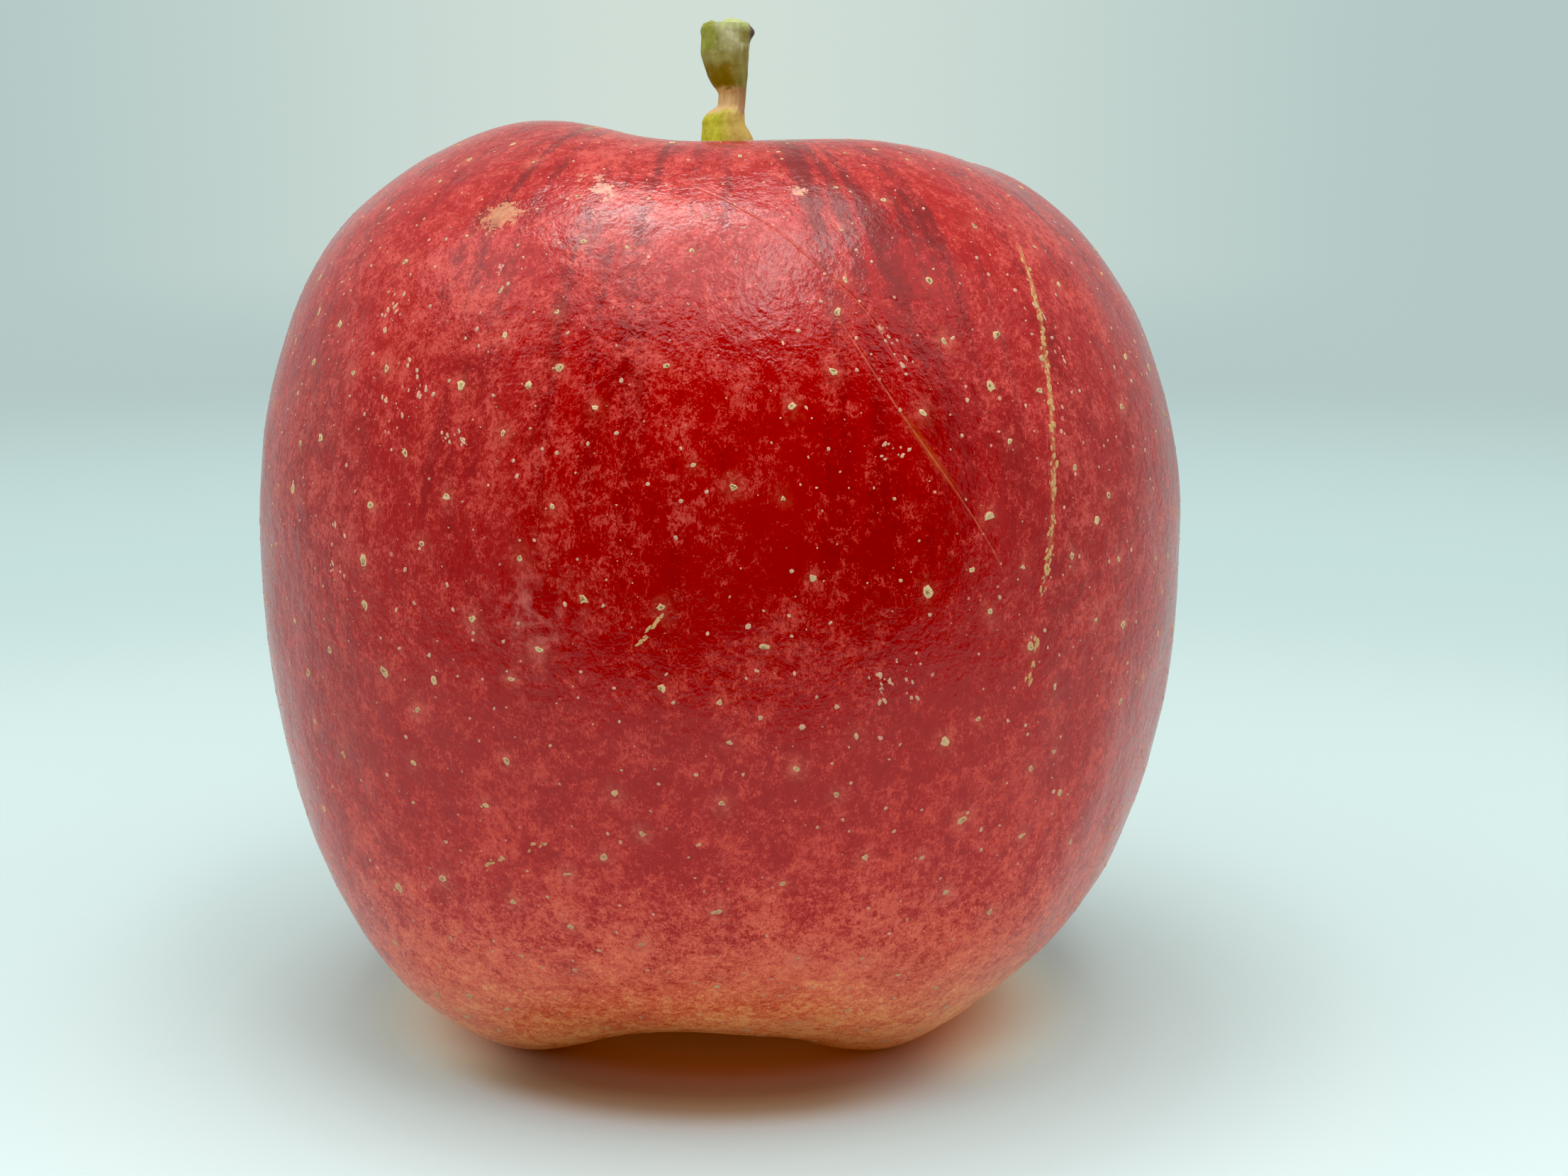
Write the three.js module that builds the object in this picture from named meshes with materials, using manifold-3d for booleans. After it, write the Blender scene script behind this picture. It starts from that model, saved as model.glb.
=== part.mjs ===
// A ripe red apple: one grown fruit, its woody stem, and the dried calyx in the basin underneath.
// Millimetres, +Z up, front towards -Y. The fruit stands on small flats under its five base lobes.
import * as THREE from "three";
import { mergeVertices } from "three/addons/utils/BufferGeometryUtils.js";
import Module from "manifold-3d";

// Body: two superellipse halves that meet at the girth.
const GIRTH_RADIUS = 40.5;
const GIRTH_HEIGHT = 42.85;
const UPPER_RISE = 36.9;
const LOWER_DROP = 43.7;
const UPPER_FULLNESS = 2.41;
const LOWER_FULLNESS = 2.22;

// Hollows at the two ends: depth on the axis and the radius at which each fades.
const CAVITY_DEPTH = 13.8;
const CAVITY_RADIUS = 13.5;
const BASIN_DEPTH = 11;
const BASIN_RADIUS = 12.9;

// Five ridges run from the crown to the base lobes. Angles are in degrees, from +X towards +Y.
const RIDGES = [
  { crownAt: 224, crownLift: 3.66, baseAt: 216, baseDrop: 4.28, baseRadius: 21.9 },
  { crownAt: 302.5, crownLift: 2.52, baseAt: 315, baseDrop: 3.96, baseRadius: 17.5 },
  { crownAt: 19, crownLift: 0.59, baseAt: 4, baseDrop: 4.0, baseRadius: 19.8 },
  { crownAt: 88, crownLift: 0.8, baseAt: 88, baseDrop: 4.08, baseRadius: 19.5 },
  { crownAt: 165, crownLift: 1.96, baseAt: 151, baseDrop: 4.06, baseRadius: 19.1 },
];
const CROWN_RADIUS = 15.6;
const CROWN_SHARPNESS = 4.34;
const BASE_SHARPNESS = 10;

// How far each ridge swells the side, and where between the crown (0) and the base (pi) it does so.
const CROWN_SWELL = { amount: 0.0228, at: 0.647, spread: 0.333 };
const BASE_SWELL = { amount: 0.0193, at: 2.377, spread: 0.387 };

// The girth is slightly out of round: share of the radius, waves round the fruit, phase in radians.
const GIRTH_OVAL = { share: -0.0073, waves: 2, phase: 0.742 };
const GIRTH_TRIANGLE = { share: 0.008, waves: 3, phase: 0.287 };
const SHOULDER_SHIFT = { share: -0.02, waves: 1, phase: -0.518 };
const FOOT_SHIFT = { share: 0.019, waves: 1, phase: 1.315 };
const AXIS_X = -0.32;
const AXIS_LEAN = 0.0086;

// Mesh fineness of the fruit.
const FRUIT_RINGS = 60;
const FRUIT_SEGMENTS = 80;
const END_CROWDING = 0.55;

// Stem sections from the foot up: height, centre in X and Y, half width.
const STEM_SECTIONS = [
  [62.6, 0.3, 0.0, 1.7],
  [65.0, 0.3, 0.0, 1.95],
  [67.5, 0.3, 0.0, 2.0],
  [71.0, 0.35, 0.05, 2.0],
  [74.5, 0.45, 0.1, 2.1],
  [77.6, 0.5, 0.1, 2.2],
  [79.1, 0.35, 0.05, 1.85],
  [79.9, 0.3, 0.0, 1.6],
  [80.6, 0.65, 0.0, 1.15],
  [81.2, 0.85, 0.0, 1.05],
  [82.3, 0.9, -0.05, 1.12],
  [83.7, 0.6, -0.1, 1.6],
  [84.8, 0.45, -0.1, 1.88],
  [86.2, 0.45, -0.1, 2.03],
  [87.3, 0.4, -0.1, 1.95],
  [87.9, 0.35, -0.1, 1.5],
];
const STEM_TOP_DIP = 0.25;
const STEM_RINGS = 44;
const STEM_SEGMENTS = 20;
const STEM_KNOTS = { share: 0.07, waves: 3, twist: 0.35 };

// Calyx: a small cup plugged into the flesh, five dried sepals round it and a tuft of stamens.
const CUP_PROFILE = [
  [0, 13.2],
  [1.9, 13.2],
  [2.3, 12.6],
  [2.4, 9.3],
  [3.6, 8.7],
  [3.9, 8.1],
  [3.4, 7.5],
  [2.2, 7.7],
  [0.9, 8.4],
  [0, 8.5],
];
const CUP_SEGMENTS = 30;
const CUP_CENTRE_X = -0.65;
const SEPALS = [
  { at: 250, length: 6.4, width: 3.3, curl: 1.05 },
  { at: 322, length: 5.8, width: 3.1, curl: 0.75 },
  { at: 34, length: 6.6, width: 3.4, curl: 1.2 },
  { at: 106, length: 5.6, width: 3.0, curl: 0.6 },
  { at: 178, length: 6.1, width: 3.2, curl: 0.9 },
];
const SEPAL_ROOT = { radius: 2.7, height: 8.0 };
const SEPAL_THICKNESS = 0.55;
const SEPAL_DIP = 0.95;
const SEPAL_STEPS = { along: 10, across: 4 };
const SEPAL_TIP_SHARE = 0.12;
const SEPAL_CUP = 0.55;
const STAMEN_COUNT = 8;
const STAMEN_RADIUS = 0.2;
const STAMEN_LENGTH = 3.6;
const STAMEN_RING = 1.5;
const STAMEN_SPLAY = 0.28;
const STAMEN_SIDES = 6;
const STAMEN_ROOT_HEIGHT = 8.6;

// Plain gap kept between pieces that meet, and the sockets in the flesh.
const GAP = 0.3;
const STEM_SOCKET = { x: 0.3, radius: 2.0 + GAP, bottom: 62.6 - GAP, top: 68.5 };
const CUP_SOCKET = { x: CUP_CENTRE_X, radius: 2.4 + GAP, bottom: 7, top: 13.2 + GAP };
const SOCKET_SEGMENTS = 32;

const COLOURS = { fruit: 0xa3121a, stem: 0x8f8240, calyx: 0x5a4326 };

const wasm = await Module();
wasm.setup();

const radians = THREE.MathUtils.degToRad;

// A smooth bump round the fruit: 1 at the given angle, falling off to both sides.
function bump(azimuth, degrees, sharpness) {
  return Math.exp(sharpness * (Math.cos(azimuth - radians(degrees)) - 1));
}

// A bump that is 0 on the axis, 1 at the given radius and fades outside it.
function hill(radius, at) {
  const q = (radius / at) ** 2;
  return q * Math.exp(1 - q);
}

function wave(azimuth, { share, waves, phase }) {
  return share * Math.cos(waves * azimuth - phase);
}

function swell(polar, { amount, at, spread }) {
  return amount * Math.exp(-(((polar - at) / spread) ** 2));
}

// The skin: polar runs from 0 at the stem cavity to pi at the calyx basin.
function skinPoint(polar, azimuth) {
  const upper = polar <= Math.PI / 2;
  const power = 2 / (upper ? UPPER_FULLNESS : LOWER_FULLNESS);
  const rise = upper ? UPPER_RISE : -LOWER_DROP;
  const sine = Math.max(Math.sin(polar), 0);
  const cosine = Math.cos(polar);
  const bodyHeight = rise * Math.abs(cosine) ** power;

  let crown = 0;
  let base = 0;
  for (const ridge of RIDGES) {
    crown += ridge.crownLift * bump(azimuth, ridge.crownAt, CROWN_SHARPNESS);
    base += ridge.baseDrop * bump(azimuth, ridge.baseAt, BASE_SHARPNESS);
  }
  const outOfRound =
    wave(azimuth, GIRTH_OVAL) +
    wave(azimuth, GIRTH_TRIANGLE) +
    Math.max(cosine, 0) * wave(azimuth, SHOULDER_SHIFT) +
    Math.max(-cosine, 0) * wave(azimuth, FOOT_SHIFT);
  const ridged = 1 + crown * swell(polar, CROWN_SWELL) + base * swell(polar, BASE_SWELL);
  const radius = GIRTH_RADIUS * sine ** power * (1 + outOfRound * sine * sine) * ridged;

  let height = bodyHeight;
  if (upper) {
    height += crown * hill(radius, CROWN_RADIUS);
    height -= CAVITY_DEPTH * Math.exp(-((radius / CAVITY_RADIUS) ** 2));
  } else {
    for (const ridge of RIDGES) {
      const lobe = ridge.baseDrop * bump(azimuth, ridge.baseAt, BASE_SHARPNESS);
      height -= lobe * hill(radius, ridge.baseRadius);
    }
    height += BASIN_DEPTH * Math.exp(-((radius / BASIN_RADIUS) ** 2));
  }
  return new THREE.Vector3(
    radius * Math.cos(azimuth) + AXIS_X + AXIS_LEAN * bodyHeight,
    radius * Math.sin(azimuth),
    GIRTH_HEIGHT + height,
  );
}

// A closed lathe on the Z axis whose vertices are then moved by place(ring, azimuth, vertex).
function shapedLathe(profile, segments, place) {
  const points = profile.map(([x, z]) => new THREE.Vector2(x, z));
  const geometry = new THREE.LatheGeometry(points, segments).rotateX(Math.PI / 2);
  const position = geometry.getAttribute("position");
  const vertex = new THREE.Vector3();
  for (let i = 0; i < position.count; i++) {
    const ring = i % profile.length;
    const turn = Math.floor(i / profile.length) % segments;
    vertex.fromBufferAttribute(position, i);
    const placed = place(ring, (2 * Math.PI * turn) / segments, vertex);
    position.setXYZ(i, placed.x, placed.y, placed.z);
  }
  return geometry;
}

// A three.js geometry as a manifold-3d solid, turned to face outwards.
function solidOf(geometry) {
  const bare = geometry.clone().deleteAttribute("normal").deleteAttribute("uv");
  const merged = mergeVertices(bare);
  const index = new Uint32Array(merged.index.array);
  const build = (triVerts) =>
    new wasm.Manifold(
      new wasm.Mesh({
        numProp: 3,
        vertProperties: new Float32Array(merged.attributes.position.array),
        triVerts,
      }),
    );
  const solid = build(index);
  return solid.volume() > 0 ? solid : build(index.slice().reverse());
}

function geometryOf(solid) {
  const mesh = solid.getMesh();
  const geometry = new THREE.BufferGeometry();
  geometry.setAttribute("position", new THREE.BufferAttribute(mesh.vertProperties, mesh.numProp));
  geometry.setIndex(new THREE.BufferAttribute(mesh.triVerts, 1));
  geometry.computeVertexNormals();
  return geometry;
}

function socket({ x, radius, bottom, top }) {
  const plug = new THREE.CylinderGeometry(radius, radius, top - bottom, SOCKET_SEGMENTS);
  plug.rotateX(Math.PI / 2).translate(x, 0, (bottom + top) / 2);
  return solidOf(plug);
}

function makeFruit() {
  const profile = [];
  const polars = [];
  for (let ring = 0; ring <= FRUIT_RINGS; ring++) {
    const share = ring / FRUIT_RINGS;
    const crowded = share - (END_CROWDING * Math.sin(2 * Math.PI * share)) / (2 * Math.PI);
    const polar = Math.PI * crowded;
    const onAxis = ring === 0 || ring === FRUIT_RINGS;
    polars.push(onAxis ? Math.PI * share : polar);
    profile.push([onAxis ? 0 : GIRTH_RADIUS * Math.sin(polar), GIRTH_RADIUS * Math.cos(polar)]);
  }
  const skin = shapedLathe(profile, FRUIT_SEGMENTS, (ring, azimuth) =>
    ring === 0 || ring === FRUIT_RINGS
      ? skinPoint(polars[ring], 0)
      : skinPoint(polars[ring], azimuth),
  );
  const standing = solidOf(skin).trimByPlane([0, 0, 1], 0);
  return geometryOf(standing.subtract(socket(STEM_SOCKET)).subtract(socket(CUP_SOCKET)));
}

// The stem: a round lathe bent along its sections, with three low ribs that twist as they climb.
function makeStem() {
  const path = new THREE.CatmullRomCurve3(
    STEM_SECTIONS.map(([height, x, y]) => new THREE.Vector3(x, y, height)),
    false,
    "centripetal",
  );
  const widths = new THREE.CatmullRomCurve3(
    STEM_SECTIONS.map(([height, , , half]) => new THREE.Vector3(half, 0, height)),
    false,
    "centripetal",
  );
  const foot = STEM_SECTIONS[0];
  const tip = STEM_SECTIONS[STEM_SECTIONS.length - 1];
  const profile = [[0, foot[0]]];
  const centres = [new THREE.Vector3(foot[1], foot[2], foot[0])];
  for (let ring = 0; ring <= STEM_RINGS; ring++) {
    const section = widths.getPoint(ring / STEM_RINGS);
    profile.push([section.x, section.z]);
    centres.push(path.getPoint(ring / STEM_RINGS));
  }
  profile.push([0, tip[0] - STEM_TOP_DIP]);
  centres.push(new THREE.Vector3(tip[1], tip[2], tip[0]));

  const placed = shapedLathe(profile, STEM_SEGMENTS, (ring, azimuth, vertex) => {
    const height = profile[ring][1];
    const ribs = 1 + STEM_KNOTS.share *
      Math.cos(STEM_KNOTS.waves * azimuth + STEM_KNOTS.twist * height);
    const radius = profile[ring][0] * (height < STEM_SOCKET.top ? 1 : ribs);
    return vertex.set(
      centres[ring].x + radius * Math.cos(azimuth),
      centres[ring].y + radius * Math.sin(azimuth),
      height,
    );
  });
  return geometryOf(solidOf(placed));
}

// One sepal: a thin tapering blade that leaves the cup, cups along its middle and curls downwards.
function sepal({ at, length, width, curl }) {
  const blade = new THREE.BoxGeometry(
    1, 1, SEPAL_THICKNESS, SEPAL_STEPS.along, SEPAL_STEPS.across, 1,
  );
  const position = blade.getAttribute("position");
  const turn = new THREE.Matrix4().makeRotationZ(radians(at));
  const vertex = new THREE.Vector3();
  for (let i = 0; i < position.count; i++) {
    const along = position.getX(i) + 0.5;
    const across = position.getY(i) * 2;
    const lift = position.getZ(i) * (1 - along / 2);
    const slope = SEPAL_DIP * along + curl * along * along;
    const halfWidth = (width / 2) * (SEPAL_TIP_SHARE + (1 - SEPAL_TIP_SHARE) * (1 - along ** 2));
    const reach = SEPAL_ROOT.radius + (length * Math.sin(slope)) / Math.max(2 * slope, 1e-6);
    const fall = (length * along * Math.sin(slope)) / 2;
    vertex.set(
      SEPAL_ROOT.radius + (reach - SEPAL_ROOT.radius) * 2 * along + lift * Math.sin(slope),
      across * halfWidth,
      SEPAL_ROOT.height - fall + lift * Math.cos(slope) - SEPAL_CUP * along * across * across,
    );
    vertex.applyMatrix4(turn);
    position.setXYZ(i, vertex.x + CUP_CENTRE_X, vertex.y, vertex.z);
  }
  return solidOf(blade);
}

function stamen(index) {
  const azimuth = (2 * Math.PI * (index + 0.5)) / STAMEN_COUNT;
  const thread = new THREE.CylinderGeometry(
    STAMEN_RADIUS, STAMEN_RADIUS * 1.6, STAMEN_LENGTH, STAMEN_SIDES,
  );
  thread.rotateX(Math.PI / 2).translate(0, 0, -STAMEN_LENGTH / 2);
  thread.rotateY(-STAMEN_SPLAY).translate(STAMEN_RING, 0, STAMEN_ROOT_HEIGHT).rotateZ(azimuth);
  thread.translate(CUP_CENTRE_X, 0, 0);
  return solidOf(thread);
}

function makeCalyx() {
  const cup = shapedLathe(CUP_PROFILE, CUP_SEGMENTS, (ring, azimuth, vertex) => {
    const [radius, height] = CUP_PROFILE[ring];
    return vertex.set(
      CUP_CENTRE_X + radius * Math.cos(azimuth),
      radius * Math.sin(azimuth),
      height,
    );
  });
  let calyx = solidOf(cup);
  for (const blade of SEPALS) calyx = calyx.add(sepal(blade));
  for (let i = 0; i < STAMEN_COUNT; i++) calyx = calyx.add(stamen(i));
  return geometryOf(calyx);
}

function piece(name, geometry, colour, roughness) {
  const material = new THREE.MeshStandardMaterial({ color: colour, roughness, metalness: 0 });
  const mesh = new THREE.Mesh(geometry, material);
  mesh.name = name;
  return mesh;
}

const apple = new THREE.Group();
apple.name = "apple";
apple.add(piece("fruit", makeFruit(), COLOURS.fruit, 0.32));
apple.add(piece("stem", makeStem(), COLOURS.stem, 0.75));
apple.add(piece("calyx", makeCalyx(), COLOURS.calyx, 0.9));

export default apple;
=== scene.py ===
"""A ripe red apple on a pale floor in a soft light tent.

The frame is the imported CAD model. The skin, the stem and the calyx are made again here, finer,
from the solids' own values or close to them, and stand for their CAD nodes. Shapes are worked out
in millimetres and written to the meshes in metres.
"""

from functools import reduce
import math

import bpy
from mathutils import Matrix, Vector
import numpy as np


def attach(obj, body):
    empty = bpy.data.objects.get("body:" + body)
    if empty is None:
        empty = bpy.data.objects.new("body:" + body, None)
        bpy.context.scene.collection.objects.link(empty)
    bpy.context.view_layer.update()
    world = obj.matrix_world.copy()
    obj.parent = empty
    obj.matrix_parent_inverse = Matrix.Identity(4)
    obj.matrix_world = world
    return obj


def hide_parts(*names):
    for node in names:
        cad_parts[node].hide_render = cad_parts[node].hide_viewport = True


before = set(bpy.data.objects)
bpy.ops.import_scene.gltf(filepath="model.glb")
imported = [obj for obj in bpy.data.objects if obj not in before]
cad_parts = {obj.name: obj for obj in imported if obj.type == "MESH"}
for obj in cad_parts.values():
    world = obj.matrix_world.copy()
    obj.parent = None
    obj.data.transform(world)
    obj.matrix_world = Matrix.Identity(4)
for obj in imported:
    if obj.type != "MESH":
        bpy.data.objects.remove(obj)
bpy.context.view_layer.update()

MM = 0.001
TAU = 2 * math.pi

# ---- The fruit's form: the same values as the solid's ----

GIRTH_RADIUS = 40.5
GIRTH_HEIGHT = 42.85
UPPER_RISE = 36.9
LOWER_DROP = 43.7
UPPER_FULLNESS = 2.41
LOWER_FULLNESS = 2.22
CAVITY_DEPTH = 13.8
CAVITY_RADIUS = 13.5
BASIN_DEPTH = 11.0
BASIN_RADIUS = 12.9

# Crown angle, crown lift, base angle, base drop, base radius.
RIDGES = [
    (224.0, 3.66, 216.0, 4.28, 21.9),
    (302.5, 2.52, 315.0, 3.96, 17.5),
    (19.0, 0.59, 4.0, 4.0, 19.8),
    (88.0, 0.8, 88.0, 4.08, 19.5),
    (165.0, 1.96, 151.0, 4.06, 19.1),
]
CROWN_RADIUS = 15.6
CROWN_SHARPNESS = 4.34
BASE_SHARPNESS = 10.0
CROWN_SWELL = (0.0228, 0.647, 0.333)
BASE_SWELL = (0.0193, 2.377, 0.387)
GIRTH_OVAL = (-0.0073, 2, 0.742)
GIRTH_TRIANGLE = (0.008, 3, 0.287)
SHOULDER_SHIFT = (-0.02, 1, -0.518)
FOOT_SHIFT = (0.019, 1, 1.315)
AXIS_X = -0.32
AXIS_LEAN = 0.0086

# Low relief of the skin, only in the dressed surface: wavelength and height.
RELIEF = [(15.0, 0.085), (8.0, 0.035), (4.2, 0.012)]
RELIEF_WAVES = 14
RELIEF_SEED = 41
# The relief fades out where the sine of the polar angle is less than this.
RELIEF_END_FADE = 0.12

SKIN_RINGS = 214
SKIN_SEGMENTS = 452
END_CROWDING = 0.45


def bump(azimuth, degrees, sharpness):
    return np.exp(sharpness * (np.cos(azimuth - math.radians(degrees)) - 1))


def hill(radius, at):
    q = (radius / at) ** 2
    return q * np.exp(1 - q)


def swell(polar, form):
    amount, at, spread = form
    return amount * np.exp(-(((polar - at) / spread) ** 2))


def wave(azimuth, form):
    share, waves, phase = form
    return share * np.cos(waves * azimuth - phase)


def round_axis(azimuth, radius, height, centre_x=0.0, centre_y=0.0):
    """Points at these azimuths round an upright axis."""
    x = centre_x + radius * np.cos(azimuth)
    y = centre_y + radius * np.sin(azimuth)
    return np.stack([x, y, np.broadcast_to(height, x.shape)], axis=-1)


def skin_point(polar, azimuth):
    """The skin in millimetres: polar is 0 in the stem cavity and pi in the calyx basin."""
    upper = polar <= math.pi / 2
    power = 2 / np.where(upper, UPPER_FULLNESS, LOWER_FULLNESS)
    rise = np.where(upper, UPPER_RISE, -LOWER_DROP)
    sine = np.maximum(np.sin(polar), 0)
    cosine = np.cos(polar)
    body = rise * np.abs(cosine) ** power

    crown = sum(r[1] * bump(azimuth, r[0], CROWN_SHARPNESS) for r in RIDGES)
    base = sum(r[3] * bump(azimuth, r[2], BASE_SHARPNESS) for r in RIDGES)
    out_of_round = (
        wave(azimuth, GIRTH_OVAL)
        + wave(azimuth, GIRTH_TRIANGLE)
        + np.maximum(cosine, 0) * wave(azimuth, SHOULDER_SHIFT)
        + np.maximum(-cosine, 0) * wave(azimuth, FOOT_SHIFT)
    )
    ridged = 1 + crown * swell(polar, CROWN_SWELL) + base * swell(polar, BASE_SWELL)
    radius = GIRTH_RADIUS * sine**power * (1 + out_of_round * sine**2) * ridged

    lobes = sum(r[3] * bump(azimuth, r[2], BASE_SHARPNESS) * hill(radius, r[4]) for r in RIDGES)
    top = crown * hill(radius, CROWN_RADIUS) - CAVITY_DEPTH * np.exp(-((radius / CAVITY_RADIUS) ** 2))
    bottom = BASIN_DEPTH * np.exp(-((radius / BASIN_RADIUS) ** 2)) - lobes
    height = GIRTH_HEIGHT + body + np.where(upper, top, bottom)
    return round_axis(azimuth, radius, height, AXIS_X + AXIS_LEAN * body)


_random = np.random.default_rng(RELIEF_SEED)
_relief = []
for _length, _height in RELIEF:
    _ways = _random.normal(size=(RELIEF_WAVES, 3))
    _ways *= (TAU / _length / np.linalg.norm(_ways, axis=1))[:, None]
    _ways *= _random.uniform(0.75, 1.3, (RELIEF_WAVES, 1))
    _relief.append((_ways, _random.uniform(0, TAU, RELIEF_WAVES), _height))


def relief(points):
    """Slight unevenness of a grown skin: a few slow waves in all directions."""
    total = np.zeros(points.shape[:-1])
    for ways, phases, height in _relief:
        total += height * np.sin(points @ ways.T + phases).sum(-1) / math.sqrt(RELIEF_WAVES)
    return total


def skin_normal(polar, azimuth):
    step = 1e-3
    along = skin_point(polar + step, azimuth) - skin_point(polar - step, azimuth)
    round_ = skin_point(polar, azimuth + step) - skin_point(polar, azimuth - step)
    normal = np.cross(along, round_)
    return normal / np.maximum(np.linalg.norm(normal, axis=-1, keepdims=True), 1e-12)


def dressed_skin(polar, azimuth):
    """The skin with its low relief, resting flat where it meets the floor."""
    point = skin_point(polar, azimuth)
    fade = np.clip(np.sin(polar) / RELIEF_END_FADE, 0, 1)[..., None]
    point = point + skin_normal(polar, azimuth) * relief(point)[..., None] * fade
    point[..., 2] = np.maximum(point[..., 2], 0.0)
    return point


def polars(rings):
    share = np.arange(rings + 1) / rings
    return math.pi * (share - END_CROWDING * np.sin(TAU * share) / TAU)


# ---- Mesh helpers ----

def put_in_scene(name, data):
    made = bpy.data.objects.new(name, data)
    bpy.context.scene.collection.objects.link(made)
    return made


def make_mesh(name, points_mm, faces):
    mesh = bpy.data.meshes.new(name)
    mesh.from_pydata((np.asarray(points_mm) * MM).tolist(), [], faces)
    mesh.validate()
    mesh.shade_smooth()
    return put_in_scene(name, mesh)


def add_values(made, name, values):
    layer = made.data.attributes.new(name, "FLOAT", "POINT")
    layer.data.foreach_set("value", np.asarray(values, dtype=np.float32).ravel())


def lathe_faces(rings, segments):
    """Quads between rings 1 to rings - 1, and fans to the two end points.

    Vertex 0 is the first pole, the last vertex the other, and ring k starts at 1 + (k - 1) * segments.
    """
    faces = []
    last = 1 + (rings - 1) * segments
    for j in range(segments):
        nxt = (j + 1) % segments
        faces.append((0, 1 + j, 1 + nxt))
        for k in range(1, rings - 1):
            a, b = 1 + (k - 1) * segments, 1 + k * segments
            faces.append((a + j, b + j, b + nxt, a + nxt))
        a = 1 + (rings - 2) * segments
        faces.append((a + j, last, a + nxt))
    return faces


def lathe_points(rings, segments, place):
    """place(ring, azimuths) gives one ring's points; rings 0 and rings are the two poles."""
    azimuth = TAU * np.arange(segments) / segments
    rows = [np.asarray(place(0, azimuth))[:1]]
    rows += [np.asarray(place(k, azimuth)) for k in range(1, rings)]
    rows.append(np.asarray(place(rings, azimuth))[:1])
    return np.concatenate(rows)


def eased(table, count):
    """Catmull-Rom through the rows of a table, one row per value of 0 to 1."""
    rows = np.asarray(table, dtype=float)
    at = np.linspace(0, len(rows) - 1, count)
    i = np.minimum(at.astype(int), len(rows) - 2)
    t = (at - i)[:, None]
    before = rows[np.maximum(i - 1, 0)]
    a, b = rows[i], rows[i + 1]
    after = rows[np.minimum(i + 2, len(rows) - 1)]
    return 0.5 * (
        2 * a
        + (b - before) * t
        + (2 * before - 5 * a + 4 * b - after) * t**2
        + (3 * a - before - 3 * b + after) * t**3
    )


# ---- Material helpers ----

WHITE = (1.0, 1.0, 1.0)
BLACK = (0.0, 0.0, 0.0)


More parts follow.
